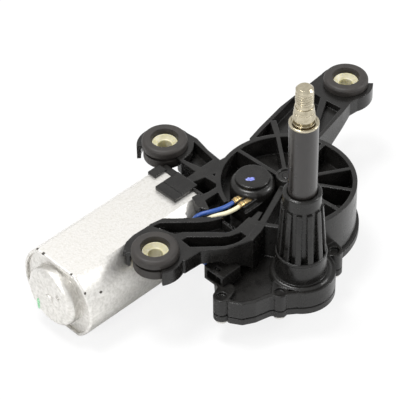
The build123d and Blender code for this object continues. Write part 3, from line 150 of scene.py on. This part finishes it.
@dataclass(frozen=True)
class Finish:
    """One real material and the way its surface was made.

    Attributes:
        name: Name of the Blender material.
        colour: Main sRGB colour.
        second: sRGB colour of the patches.
        making: How the surface was made.
        metallic: 1 for bare metal, else 0.
        roughness: Mean roughness.
        spread: How far the roughness wanders.
        patch_mm: Size of the colour patches in millimetres.
        patch_share: Share of the second colour at its strongest.
        grain_mm: Size of the surface grain in millimetres.
        relief_mm: Height of the grain in millimetres.
        ior: Index of refraction.
        edge_mm: Radius of the softened edges in millimetres.
        fleck_colour: sRGB colour of the scattered flecks, or an empty string for none.
        fleck_mm: Size of the flecks in millimetres.
        fleck_share: Share of the fleck colour at its strongest.
        glow_mm: How far light soaks into the material in millimetres, or 0 for none.
    """

    name: str
    colour: str
    second: str
    making: Making
    metallic: float = 0.0
    roughness: float = 0.5
    spread: float = 0.08
    patch_mm: float = 6.0
    patch_share: float = 0.5
    grain_mm: float = 0.5
    relief_mm: float = 0.02
    ior: float = 1.5
    edge_mm: float = 0.3
    fleck_colour: str = ""
    fleck_mm: float = 0.6
    fleck_share: float = 0.4
    glow_mm: float = 0.0

    def build(self) -> bpy.types.Material:
        """Make the node material.

        Returns:
            The Blender material.
        """
        material = bpy.data.materials.new(self.name)
        material.use_nodes = True
        tree = material.node_tree
        tree.nodes.clear()
        place = add_node(tree, "ShaderNodeTexCoord").outputs["Object"]
        patches = add_node(tree, "ShaderNodeTexNoise", {"noise_dimensions": "3D"}, {
            "Vector": place, "Scale": per_metre(self.patch_mm), "Detail": 5.0, "Roughness": 0.6})
        share = add_node(tree, "ShaderNodeMapRange", inputs={
            "Value": patches.outputs["Fac"], "From Min": PATCH_EDGES[0], "From Max": PATCH_EDGES[1],
            "To Min": 0.0, "To Max": self.patch_share})
        colour = add_node(tree, "ShaderNodeMix", {"data_type": "RGBA"}, {
            MIX_FACTOR: share.outputs["Result"], MIX_FIRST: linear(self.colour),
            MIX_SECOND: linear(self.second)})
        rough = add_node(tree, "ShaderNodeMapRange", inputs={
            "Value": patches.outputs["Fac"], "From Min": ROUGH_EDGES[0], "From Max": ROUGH_EDGES[1],
            "To Min": max(0.05, self.roughness - self.spread),
            "To Max": min(1.0, self.roughness + self.spread)})
        edge = add_node(tree, "ShaderNodeBevel", {"samples": 6}, {"Radius": self.edge_mm * MM})
        height = self.grain(tree, place)
        bump = add_node(tree, "ShaderNodeBump", inputs={
            "Strength": 1.0, "Distance": self.relief_mm * MM, "Height": height,
            "Normal": edge.outputs["Normal"]})
        tint = colour.outputs[MIX_RESULT]
        if self.fleck_colour:
            tint = self.flecks(tree, place, tint)
        shader = add_node(tree, "ShaderNodeBsdfPrincipled", inputs={
            "Base Color": tint, "Metallic": self.metallic, "Roughness": rough.outputs["Result"],
            "Normal": bump.outputs["Normal"]})
        if not self.metallic:
            shader.inputs["IOR"].default_value = self.ior
        if self.glow_mm:
            shader.inputs["Subsurface Weight"].default_value = SOAK_SHARE
            shader.inputs["Subsurface Radius"].default_value = SOAK_COLOUR
            shader.inputs["Subsurface Scale"].default_value = self.glow_mm * MM
        add_node(tree, "ShaderNodeOutputMaterial", inputs={"Surface": shader.outputs["BSDF"]})
        return material

    def flecks(self, tree: bpy.types.NodeTree, place: bpy.types.NodeSocket,
               under: bpy.types.NodeSocket) -> bpy.types.NodeSocket:
        """Scatter small flecks over the colour.

        Args:
            tree: Node tree of the material.
            place: Socket with the object coordinates in metres.
            under: Socket with the colour below the flecks.

        Returns:
            The socket with the flecked colour.
        """
        noise = add_node(tree, "ShaderNodeTexNoise", inputs={
            "Vector": place, "Scale": per_metre(self.fleck_mm), "Detail": 4.0, "Roughness": 0.7})
        share = add_node(tree, "ShaderNodeMapRange", inputs={
            "Value": noise.outputs["Fac"], "From Min": FLECK_EDGES[0], "From Max": FLECK_EDGES[1],
            "To Min": 0.0, "To Max": self.fleck_share})
        mixed = add_node(tree, "ShaderNodeMix", {"data_type": "RGBA"}, {
            MIX_FACTOR: share.outputs["Result"], MIX_FIRST: under, MIX_SECOND: linear(self.fleck_colour)})
        return mixed.outputs[MIX_RESULT]

    def grain(self, tree: bpy.types.NodeTree, place: bpy.types.NodeSocket) -> bpy.types.NodeSocket:
        """Draw the fine relief that the making leaves.

        Args:
            tree: Node tree of the material.
            place: Socket with the object coordinates in metres.

        Returns:
            The socket with the height, from 0 to 1.
        """
        if self.making is Making.MACHINED:
            rings = add_node(tree, "ShaderNodeTexWave", {"wave_type": "BANDS", "bands_direction": "Z"}, {
                "Vector": place, "Scale": per_metre(self.grain_mm) / 20, "Distortion": 1.5, "Detail": 2.0})
            return rings.outputs["Fac"]
        if self.making is Making.PLATED:
            spangle = add_node(tree, "ShaderNodeTexVoronoi", {"feature": "F1"}, {
                "Vector": place, "Scale": per_metre(self.grain_mm)})
            return spangle.outputs["Distance"]
        noise = add_node(tree, "ShaderNodeTexNoise", inputs={
            "Vector": place, "Scale": per_metre(self.grain_mm), "Detail": 3.0})
        return noise.outputs["Fac"]


FINISHES = {
    # Polyamide 66 with glass fibre, injection moulded: near black, with a satin sheen off its skin
    # and faint cloudy patches where the melt cooled last.
    "black_plastic": Finish("glass_filled_polyamide", "171615", "242321", Making.MOULDED, roughness=0.27,
                            grain_mm=0.9, relief_mm=0.014, ior=1.38, edge_mm=0.9, fleck_colour="4a4843",
                            fleck_mm=0.7, fleck_share=0.35),
    # The cover is the same polyamide from another mould, a little more matt.
    "cover_plastic": Finish("cover_polyamide", "191817", "242321", Making.MOULDED, roughness=0.29,
                            grain_mm=0.9, relief_mm=0.014, ior=1.38, edge_mm=0.9),
    # Deep-drawn steel, zinc plated and passivated: pale and mottled, with a soft sheen.
    "zinc_steel": Finish("zinc_plated_steel", "dfddd9", "bab8b2", Making.PLATED, metallic=1.0,
                         roughness=0.4, patch_mm=1.6, patch_share=0.7, grain_mm=0.9, relief_mm=0.035,
                         edge_mm=0.35,
                         fleck_colour="a39f94", fleck_mm=0.5, fleck_share=0.5),
    # Turned steel with a thin nickel coat: bright and a little warm, with darker patches that are painted
    # reflection of the dark bands the round spindle mirrors.
    "spindle_steel": Finish("nickel_plated_steel", "b9b19c", "857d69", Making.MACHINED, metallic=1.0,
                            roughness=0.24, patch_mm=2.2, patch_share=0.5, grain_mm=0.5, relief_mm=0.006,
                            edge_mm=0.2),
    # Ground steel, lightly oiled.
    "plain_steel": Finish("ground_steel", "b4b2ad", "9c9a95", Making.MACHINED, metallic=1.0, roughness=0.3,
                          grain_mm=0.4, relief_mm=0.004),
    # Sintered bronze, porous and matt.
    "bronze": Finish("sintered_bronze", "a8814f", "8a6a3f", Making.PRESSED, metallic=1.0, roughness=0.5),
    # Enamelled copper wire.
    "copper": Finish("enamelled_copper", "b06a3c", "8e5230", Making.DRAWN, metallic=1.0, roughness=0.35),
    # Stamped brass.
    "brass": Finish("stamped_brass", "d0b480", "9c8250", Making.PRESSED, metallic=1.0, roughness=0.33,
                    patch_mm=1.0, grain_mm=0.4, relief_mm=0.01, edge_mm=0.12),
    # Sintered ferrite, dark grey and chalky.
    "ferrite": Finish("sintered_ferrite", "2b2b2d", "38383a", Making.PRESSED, roughness=0.8),
    # Pressed carbon.
    "carbon": Finish("pressed_carbon", "1c1c1c", "2a2a2a", Making.PRESSED, roughness=0.6),
    # Stamped and stacked electrical steel.
    "lamination": Finish("electrical_steel", "8d8d8b", "6f6f6d", Making.PRESSED, metallic=1.0,
                         roughness=0.45),
    # Synthetic rubber, moulded: warm dark grey and quite matt, with a bloom on its skin.
    "rubber": Finish("moulded_rubber", "2a2725", "3a3632", Making.MOULDED, roughness=0.55, patch_mm=3.0,
                     grain_mm=0.6, relief_mm=0.02, ior=1.42, edge_mm=0.5, fleck_colour="5a554e",
                     fleck_mm=0.8, fleck_share=0.3),
    # Unfilled polyamide, aged to cream, a little translucent.
    "cream_plastic": Finish("natural_polyamide", "d0caaf", "bdb889", Making.MOULDED, roughness=0.38,
                            patch_mm=3.0, grain_mm=0.8, relief_mm=0.01, ior=1.53, glow_mm=1.5),
    # White acetal of the gear wheel.
    "white_plastic": Finish("white_acetal", "e2e0d8", "d5d3ca", Making.MOULDED, roughness=0.4, ior=1.48),
    # Soft seal.
    "seal": Finish("seal_rubber", "201f1e", "2a2927", Making.MOULDED, roughness=0.7, ior=1.52),
    # Steel tube with a thin black coating that shines along it.
    "coated_steel": Finish("black_coated_steel", "211e1c", "2b2725", Making.DRAWN, roughness=0.3,
                           spread=0.05, grain_mm=0.5, relief_mm=0.006, ior=1.55, edge_mm=0.25),
    # Soft polyvinyl chloride sheaths of the leads.
    "blue_sheath": Finish("blue_sheath", "2b529c", "213f7e", Making.DRAWN, roughness=0.36, ior=1.5),
    "cream_sheath": Finish("cream_sheath", "ece5c6", "dbd1a6", Making.DRAWN, roughness=0.36, ior=1.5),
    # Tinned brass blades.
    "tinned": Finish("tinned_brass", "c4c3bf", "a9a8a3", Making.PRESSED, metallic=1.0, roughness=0.35),
    # Dabs of inspector's paint, brushed on thin.
    "blue_paint": Finish("blue_inspection_paint", "6a74c4", "98a2e0", Making.MOULDED, roughness=0.3,
                         patch_mm=1.2, patch_share=0.9, grain_mm=0.5, relief_mm=0.05),
    "green_paint": Finish("green_inspection_paint", "6ec98a", "b7e6c2", Making.MOULDED, roughness=0.3,
                          patch_mm=1.2, patch_share=0.9, grain_mm=0.5, relief_mm=0.05),
    # Painted shade: a dark fill on the punched stake marks and in the gaps between the crimp wings,
    # standing in for the shade in those hollows.
    "recess_shade": Finish("painted_recess_shade", "3b3733", "5a544c", Making.PRESSED, roughness=0.7, patch_mm=0.6,
                    grain_mm=0.3, relief_mm=0.04),
}


@dataclass
class Paintwork:
    """Gives every solid of the frame its finish.

    Attributes:
        built: Materials made so far, by slot.
    """

    built: dict[str, bpy.types.Material] = field(default_factory=dict)

    def material(self, slot: str) -> bpy.types.Material:
        """Make a finish once and hand it out again.

        Args:
            slot: Name of the record's material slot.

        Returns:
            The material of that slot.
        """
        if slot not in self.built:
            self.built[slot] = FINISHES[slot].build()
        return self.built[slot]

    def dress(self) -> None:
        """Put each node's finish on its object."""
        for part in frame["record"]["subparts"]:
            piece = frame["nodes"][part["node"]]
            piece.data.materials.clear()
            piece.data.materials.append(self.material(part["material_slot"]))
            LOG.info("dressed %s in %s", part["node"], part["material_slot"])


@dataclass(frozen=True)
class Workshop:
    """Makes mesh pieces and hangs them on their body.

    Attributes:
        paintwork: Source of the finishes.
    """

    paintwork: Paintwork

    def piece(self, name: str, corners: Sequence[Sequence[float]], faces: Sequence[Sequence[int]],
              body: str, slot: str, finish: str) -> bpy.types.Object:
        """Make one closed mesh piece.

        Args:
            name: Name of the piece.
            corners: Corner points in metres.
            faces: Corner numbers of each face.
            body: Moving body that carries the piece.
            slot: Record slot that the piece belongs to; not used.
            finish: Finish of the piece.

        Returns:
            The new object.
        """
        mesh = bpy.data.meshes.new(name)
        mesh.from_pydata(corners, [], faces)
        mesh.validate()
        shape = bmesh.new()
        shape.from_mesh(mesh)
        bmesh.ops.recalc_face_normals(shape, faces=shape.faces)
        shape.to_mesh(mesh)
        shape.free()
        piece = bpy.data.objects.new(name, mesh)
        bpy.context.scene.collection.objects.link(piece)
        mesh.materials.append(self.paintwork.material(finish))
        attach(piece, body)
        LOG.info("made %s on %s", name, body)
        return piece


def around(column: int, columns: int) -> tuple[float, float]:
    """Cosine and sine of one of the evenly spaced directions around an axis.

    Args:
        column: Number of the direction.
        columns: How many directions make a full turn.

    Returns:
        The cosine and the sine.
    """
    angle = 2 * math.pi * column / columns
    return math.cos(angle), math.sin(angle)


def ring_faces(rows: int, columns: int, wrap_rows: bool) -> list[tuple[int, ...]]:
    """Faces of a grid of points whose rows are closed loops.

    Args:
        rows: Number of loops.
        columns: Points in each loop.
        wrap_rows: Whether the last loop joins the first; if not, both end loops are capped.

    Returns:
        The faces as corner numbers.
    """
    faces = []
    for row in range(rows if wrap_rows else rows - 1):
        after = (row + 1) % rows
        for column in range(columns):
            beside = (column + 1) % columns
            faces.append((row * columns + column, row * columns + beside, after * columns + beside,
                          after * columns + column))
    if not wrap_rows:
        faces.append(tuple(reversed(range(columns))))
        faces.append(tuple(range((rows - 1) * columns, rows * columns)))
    return faces


@dataclass
class SpindleEnd:
    """Thread and knurl on the end of the output spindle. Sizes are in millimetres above the collar seat.

    Attributes:
        workshop: Maker of the pieces.
        thread_radius: Radius of the plain end under the thread.
        thread_depth: How far the thread's crest stands proud.
        pitch: Distance from one crest to the next.
        thread_low: Height of the first crest.
        thread_high: Height of the last crest.
        knurl_low: Height of the knurl's foot.
        knurl_high: Height of the knurl's top.
        knurl_low_radius: Radius at the knurl's foot.
        knurl_high_radius: Radius at the knurl's top.
        knurl_depth: Height of the knurl's ridges.
        knurl_count: Number of ridges.
    """

    workshop: Workshop
    thread_radius: float = 3.95
    thread_depth: float = 0.16
    pitch: float = 1.25
    thread_low: float = 50.6
    thread_high: float = 57.8
    knurl_low: float = 42.7
    knurl_high: float = 46.3
    knurl_low_radius: float = 4.81
    knurl_high_radius: float = 4.55
    knurl_depth: float = 0.2
    knurl_count: int = 30

    def thread(self) -> None:
        """Wind the thread as one closed ridge."""
        steps_per_turn = 48
        steps = int((self.thread_high - self.thread_low) / self.pitch * steps_per_turn)
        root = self.thread_radius - 0.05
        half = self.pitch * 0.42
        corners = []
        for step in range(steps + 1):
            cosine, sine = around(step, steps_per_turn)
            height = self.thread_low + self.pitch * step / steps_per_turn
            fade = min(1.0, step / steps_per_turn, (steps - step) / steps_per_turn)
            crest = self.thread_radius + self.thread_depth * max(0.05, fade)
            for radius, level in ((root, height - half), (crest, height), (root, height + half)):
                corners.append((radius * cosine * MM, radius * sine * MM, level * MM))
        self.workshop.piece("spindle_thread", corners, ring_faces(steps + 1, 3, False), "spindle",
                            "zinc_steel", "spindle_steel")

    def knurl(self) -> None:
        """Roll the ridges of the tapered seat as one closed ring."""
        columns = self.knurl_count * 2
        foot, top, rooted = self.knurl_low_radius, self.knurl_high_radius, 0.4
        loops = (
            (foot - rooted, self.knurl_low, False), (foot, self.knurl_low, True),
            (top, self.knurl_high, True), (top - rooted, self.knurl_high, False))
        corners = []
        for radius, level, toothed in loops:
            for column in range(columns):
                cosine, sine = around(column, columns)
                reach = radius + (self.knurl_depth if toothed and column % 2 else 0.02)
                corners.append((reach * cosine * MM, reach * sine * MM, level * MM))
        self.workshop.piece("spindle_knurl", corners, ring_faces(len(loops), columns, True), "spindle",
                            "zinc_steel", "spindle_steel")

    def build(self) -> None:
        """Make the thread and the knurl and give the spindle its own finish."""
        self.thread()
        self.knurl()
        for node in ("output_spindle", "retaining_ring", "sleeve_cap"):
            frame["nodes"][node].data.materials[0] = self.workshop.paintwork.material("spindle_steel")


@dataclass
class HousingForms:
    """Moulded forms of the housing that its solid leaves plain. Sizes are in millimetres.

    Attributes:
        workshop: Maker of the pieces.
        deck: Height of the deck's top.
        roof: Height of the sunk roof over the linkage.
        wall: Plan corners of the side wall under the diagonal rib, which ends inside the drum's own wall.
        hub: Plan centre of the ribs' hub.
        columns: Points around each turned piece.
    """

    workshop: Workshop
    deck: float = -33.0
    roof: float = -52.2
    wall: tuple[tuple[float, float], ...] = (
        (-14.3, 16.9), (-7.1, 18.7), (-2.8, 20.4), (-4.4, 24.2), (-8.4, 22.6), (-14.3, 20.4))
    hub: tuple[float, float] = (26.4, 35.0)
    columns: int = 64

    def side_wall(self) -> None:
        """Stand the smooth wall below the diagonal rib, from the deck down to the roof."""
        columns = len(self.wall)
        corners = [(x * MM, y * MM, z * MM) for z in (self.roof, self.deck + 0.03) for x, y in self.wall]
        self.workshop.piece("side_wall", corners, ring_faces(2, columns, False), "housing", "black_plastic",
                            "black_plastic")

    def lathe(self, name: str, centre: tuple[float, float], profile: Sequence[tuple[float, float]],
              slot: str = "black_plastic", finish: str = "black_plastic") -> None:
        """Turn a closed profile around an upright axis.

        Args:
            name: Name of the piece.
            centre: Plan place of the axis.
            profile: Radius and height of each corner of the closed profile.
            slot: Record slot of the piece.
            finish: Finish of the piece.
        """
        corners = []
        for radius, height in profile:
            for column in range(self.columns):
                cosine, sine = around(column, self.columns)
                corners.append(((centre[0] + radius * cosine) * MM, (centre[1] + radius * sine) * MM,
                                height * MM))
        faces = ring_faces(len(profile), self.columns, True)
        self.workshop.piece(name, corners, faces, "housing", slot, finish)

    def tower(self) -> None:
        """Fill the tower's core out to the collar and round the rim of its base."""
        base, core_top = self.deck - 3.8, -7.0
        self.lathe("tower_core", (0.0, 0.0), (
            (7.2, base - 0.3), (9.6, base - 0.3), (9.2, base + 0.5), (8.95, base + 1.6), (8.85, core_top),
            (7.2, core_top)))
        self.lathe("tower_rim", (0.0, 0.0), (
            (10.8, base - 0.4), (10.8, base + 0.5), (11.05, base + 0.95), (11.45, base + 1.1),
            (11.85, base + 0.85), (12.05, base + 0.3), (12.08, base - 0.4)))

    def build(self) -> None:
        """Make the side wall, the tower's forms, the rounded lip of the collar and the rings of the hub."""
        self.side_wall()
        self.tower()
        self.lathe("collar_lip", (0.0, 0.0), (
            (6.68, -2.3), (6.68, -0.5), (6.95, -0.15), (7.5, -0.05), (8.0, -0.12), (8.4, -0.4), (8.6, -1.0),
            (8.3, -2.3)))
        top = self.deck + 2.6
        self.lathe("hub_ring", self.hub, (
            (3.9, top - 0.4), (3.9, top + 0.5), (4.2, top + 0.7), (4.9, top + 0.7), (5.2, top + 0.4),
            (5.2, top - 0.4)))
        self.lathe("hub_pin", self.hub, (
            (0.02, top - 0.3), (0.02, top + 0.3), (1.9, top + 0.3), (2.3, top + 0.1), (2.3, top - 0.3)))


@dataclass
class Mountings:
    """Spacers of the three mounting eyes, sunk in their grommets. Sizes are in millimetres.

    Attributes:
        forms: Turner of the round pieces.
        radius: Outer radius of a spacer.
        bore: Radius of its bore.
        top: Height of its rim.
        bottom: Height of its foot.
        dish: Depth of its dished mouth.
    """

    forms: HousingForms
    radius: float = 6.3
    bore: float = 3.4
    top: float = -31.7
    bottom: float = -40.1
    dish: float = 1.7

    def build(self) -> None:
        """Turn each spacer in the place of its plain solid."""
        for number in (1, 2, 3):
            node = f"spacer_bush_{number}"
            low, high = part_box(node)
            centre = ((low[0] + high[0]) / 2 / MM, (low[1] + high[1]) / 2 / MM)
            name = f"spacer_{number}"
            self.forms.lathe(name, centre, (
                (self.bore, self.bottom), (self.radius - 0.3, self.bottom),
                (self.radius, self.bottom + 0.3),
                (self.radius, self.top - 0.3), (self.radius - 0.2, self.top),
                (self.radius - 0.7, self.top), (self.radius - 1.3, self.top - 0.7),
                (self.bore + 0.6, self.top - self.dish + 0.2),
                (self.bore + 0.1, self.top - self.dish), (self.bore, self.top - self.dish - 0.3)),
                "cream_plastic", "cream_plastic")
            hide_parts(node)


@dataclass
class Crimps:
    """Folded crimp wings around the ends of the two leads. Sizes are in millimetres.

    Attributes:
        forms: Turner of the round pieces.
        barrels: Place of each barrel's axis, across and up.
        stations: Where the dark gaps between the wings lie along the barrel.
        radius: Radius of the gaps' bands.
        inside: Radius of the bands' hidden inner side.
        width: Width of a band along the barrel.
    """

    forms: HousingForms
    barrels: tuple[tuple[float, float], ...] = ((42.4, -34.0), (38.4, -34.0))
    stations: tuple[float, ...] = (-1.45, -0.35, 0.75)
    radius: float = 1.62
    inside: float = 1.3
    width: float = 0.34

    def build(self) -> None:
        """Lay a band of painted shade in each gap between the wings."""
        columns = 24
        section = (
            (self.inside, 0.0), (self.radius, 0.0), (self.radius, self.width), (self.inside, self.width))
        for row, (y, z) in enumerate(self.barrels, 1):
            for number, station in enumerate(self.stations, 1):
                corners = []
                for radius, shift in section:
                    for column in range(columns):
                        cosine, sine = around(column, columns)
                        corners.append(((station + shift) * MM, (y + radius * cosine) * MM,
                                        (z + radius * sine) * MM))
                faces = ring_faces(len(section), columns, True)
                self.forms.workshop.piece(
                    f"crimp_gap_{row}_{number}", corners, faces, "housing", "brass", "recess_shade")


@dataclass
class StakeMarks:
    """Punched stake marks that hold the end bell in the can. Sizes are in millimetres.

    Attributes:
        workshop: Maker of the pieces.
        places: Point on the surface, outward normal and radius of each mark.
    """

    workshop: Workshop
    places: tuple[tuple[tuple[float, float, float], tuple[float, float, float], float], ...]

    def build(self) -> None:
        """Press each mark as a small dished disc with a raised rim, dark with painted shade that stands in
        for the punched hollow.
        """
        columns = 20
        rings = ((1.0, -0.3), (1.0, 0.05), (0.7, 0.09), (0.25, 0.05))   # share of the radius, and height
        for number, (place, normal, radius) in enumerate(self.places, 1):
            up = Vector(normal).normalized()
            side = up.orthogonal().normalized()
            other = up.cross(side)
            ragged = random.Random(number)
            edge = [ragged.uniform(0.8, 1.15) for _ in range(columns)]
            corners = []
            for share, lift in rings:
                for column in range(columns):
                    cosine, sine = around(column, columns)
                    reach = radius * share * edge[column]
                    point = Vector(place) + up * lift
                    point += side * (reach * cosine) + other * (reach * sine)
                    corners.append(tuple(point * MM))
            faces = ring_faces(len(rings), columns, False)
            self.workshop.piece(f"stake_mark_{number}", corners, faces, "housing", "zinc_steel", "recess_shade")


@dataclass
class PaintDab:
    """Irregular dab of paint on a flat face. Sizes are in millimetres.

    Attributes:
        workshop: Maker of the pieces.
        name: Name of the piece.
        centre: Middle of the dab on the face.
        across: Unit vector across the dab.
        along: Unit vector along the dab.
        half_width: Half the size across.
        half_length: Half the size along.
        finish: Paint.
        slot: Record slot of what it is on.
        seed: Seed of the ragged edge.
        thickness: Thickness of the paint.
    """

    workshop: Workshop
    name: str
    centre: tuple[float, float, float]
    across: tuple[float, float, float]
    along: tuple[float, float, float]
    half_width: float
    half_length: float
    finish: str
    slot: str
    seed: int
    thickness: float = 0.07

    def build(self) -> None:
        """Make the dab as a thin closed cushion."""
        ragged = random.Random(self.seed)
        across, along = Vector(self.across), Vector(self.along)
        normal = across.cross(along)
        columns = 22
        edge = [1.0 + ragged.uniform(-0.3, 0.12) for _ in range(columns)]
        rings = ((1.0, -0.3), (1.0, 0.4), (0.8, 1.0), (0.3, 1.1))   # share of the size and the thickness
        corners = []
        for share, lift in rings:
            for column in range(columns):
                cosine, sine = around(column, columns)
                reach = edge[column] * share
                point = Vector(self.centre) + across * (self.half_width * reach * cosine)
                point += along * (self.half_length * reach * sine) + normal * (self.thickness * lift)
                corners.append(tuple(point * MM))
        faces = ring_faces(len(rings), columns, False)
        self.workshop.piece(self.name, corners, faces, "housing", self.slot, self.finish)


@dataclass
class Studio:
    """Camera, lamps, pale floor and white surroundings.

    Attributes:
        eye_mm: Place of the camera in millimetres.
        heading_deg: Direction of view in plan, clockwise from +Y.
        elevation_deg: How far the camera looks down.
        roll_deg: Roll of the camera about its line of view.
        lens_mm: Focal length.
        floor_drop_mm: Gap between the part's lowest point and the floor.
        floor_reach: Half the floor's edge in metres.
        floor_glow: Share of plain white in what the camera sees of the floor.
        daylight: Strength of the light from all around.
        aim: Point that the lamps face, in metres.
        lamps: Name, place in metres, edge in metres and power in watts of each lamp.
    """

    eye_mm: tuple[float, float, float] = (-547.8, -513.1, 683.1)
    heading_deg: float = 43.38
    elevation_deg: float = 42.56
    roll_deg: float = -1.11
    lens_mm: float = 204.84
    floor_drop_mm: float = 0.3
    floor_reach: float = 4.0
    floor_glow: float = 0.82
    daylight: float = 0.42
    aim: tuple[float, float, float] = (0.0, 0.03, -0.03)
    lamps: tuple[tuple[str, tuple[float, float, float], float, float], ...] = (
        ("overhead", (-0.1, 0.3, 1.1), 0.36, 11.0),
        ("left", (-1.0, -0.2, 0.6), 0.26, 4.0),
        ("right", (0.7, -0.6, 0.5), 0.25, 5.0))

    def camera(self) -> None:
        """Place the camera."""
        azimuth = math.radians(self.heading_deg)
        tilt = math.radians(self.elevation_deg)
        roll = math.radians(self.roll_deg)
        level = Vector((math.cos(azimuth), -math.sin(azimuth), 0.0))
        ahead = Vector((math.sin(azimuth), math.cos(azimuth), 0.0)) * math.cos(tilt)
        ahead.z = -math.sin(tilt)
        upward = level.cross(ahead)
        right = level * math.cos(roll) + upward * math.sin(roll)
        up = upward * math.cos(roll) - level * math.sin(roll)
        data = bpy.data.cameras.new("camera")
        data.lens = self.lens_mm
        data.clip_end = 10.0
        camera = bpy.data.objects.new("camera", data)
        bpy.context.scene.collection.objects.link(camera)
        rows = [(right[i], up[i], -ahead[i], self.eye_mm[i] * MM) for i in range(3)]
        camera.matrix_world = Matrix(rows + [(0, 0, 0, 1)])
        bpy.context.scene.camera = camera

    def lamp(self, name: str, place: Sequence[float], size: float, power: float) -> None:
        """Add a soft rectangular lamp that faces the part.

        Args:
            name: Name of the lamp.
            place: Where it hangs, in metres.
            size: Edge of the lamp in metres.
            power: Power in watts.
        """
        data = bpy.data.lights.new(name, "AREA")
        data.energy = power
        data.size = size
        lamp = bpy.data.objects.new(name, data)
        bpy.context.scene.collection.objects.link(lamp)
        lamp.location = place
        towards = Vector(self.aim) - Vector(place)
        lamp.rotation_euler = towards.to_track_quat("-Z", "Y").to_euler()

    def seen_white(self, tree: bpy.types.NodeTree,
                   plain: bpy.types.NodeSocket) -> bpy.types.NodeSocket:
        """Show plain white to the camera and in reflections, and the plain shader to all other light.

        Args:
            tree: Node tree of the world.
            plain: Shader that lights the part.

        Returns:
            The mixed shader.
        """
        path = add_node(tree, "ShaderNodeLightPath")
        mirrored = add_node(tree, "ShaderNodeMath", {"operation": "MAXIMUM"}, {
            0: path.outputs["Is Glossy Ray"], 1: path.outputs["Is Transmission Ray"]})
        seen = add_node(tree, "ShaderNodeMath", {"operation": "MAXIMUM"}, {
            0: path.outputs["Is Camera Ray"], 1: mirrored.outputs["Value"]})
        white = add_node(tree, "ShaderNodeBackground", inputs={"Color": (1, 1, 1, 1), "Strength": 1.0})
        mixed = add_node(tree, "ShaderNodeMixShader", inputs={
            0: seen.outputs["Value"], 1: plain, 2: white.outputs["Background"]})
        return mixed.outputs["Shader"]

    def world(self) -> None:
        """Make the white surroundings."""
        world = bpy.data.worlds.new("studio")
        bpy.context.scene.world = world
        world.use_nodes = True
        tree = world.node_tree
        tree.nodes.clear()
        plain = add_node(tree, "ShaderNodeBackground", inputs={
            "Color": (1, 1, 1, 1), "Strength": self.daylight})
        mixed = self.seen_white(tree, plain.outputs["Background"])
        add_node(tree, "ShaderNodeOutputWorld", inputs={"Surface": mixed})

    def floor(self) -> None:
        """Lay the pale floor under the part."""
        low = CAD_BOX[0][2] - self.floor_drop_mm * MM
        reach = self.floor_reach
        corners = [(-reach, -reach, low), (reach, -reach, low), (reach, reach, low), (-reach, reach, low)]
        mesh = bpy.data.meshes.new("floor")
        mesh.from_pydata(corners, [], [(0, 1, 2, 3)])
        floor = bpy.data.objects.new("floor", mesh)
        bpy.context.scene.collection.objects.link(floor)
        material = bpy.data.materials.new("pale_floor")
        material.use_nodes = True
        tree = material.node_tree
        tree.nodes.clear()
        path = add_node(tree, "ShaderNodeLightPath")
        plain = add_node(tree, "ShaderNodeBsdfDiffuse", inputs={"Color": linear("f4f4f4")})
        glow = add_node(tree, "ShaderNodeEmission", inputs={"Color": (1, 1, 1, 1), "Strength": 1.0})
        seen = add_node(tree, "ShaderNodeMath", {"operation": "MULTIPLY"}, {
            0: path.outputs["Is Camera Ray"], 1: self.floor_glow})
        mixed = add_node(tree, "ShaderNodeMixShader", inputs={
            0: seen.outputs["Value"], 1: plain.outputs["BSDF"], 2: glow.outputs["Emission"]})
        add_node(tree, "ShaderNodeOutputMaterial", inputs={"Surface": mixed.outputs["Shader"]})
        floor.data.materials.append(material)

    def build(self) -> None:
        """Set up the whole studio."""
        bpy.context.scene.view_settings.view_transform = "Standard"
        self.camera()
        self.world()
        self.floor()
        for name, place, size, power in self.lamps:
            self.lamp(name, place, size, power)


def main() -> None:
    """Dress the part and set up the studio."""
    logging.basicConfig(level=logging.INFO, format="%(name)s: %(message)s")
    paintwork = Paintwork()
    paintwork.dress()
    workshop = Workshop(paintwork)
    SpindleEnd(workshop).build()
    forms = HousingForms(workshop)
    forms.build()
    Mountings(forms).build()
    Crimps(forms).build()
    StakeMarks(workshop, STAKES).build()
    PaintDab(workshop, "blue_dab", CAP_DAB, (0.82, -0.57, 0.0), (0.57, 0.82, 0.0), 2.4, 1.4, "blue_paint",
             "black_plastic", 3).build()
    PaintDab(workshop, "green_dab", BELL_DAB, (0.0, -1.0, 0.0), (0.0, 0.0, 1.0), 1.0, 3.9, "green_paint",
             "zinc_steel", 5).build()
    Studio().build()


if __name__ == "__main__":
    main()
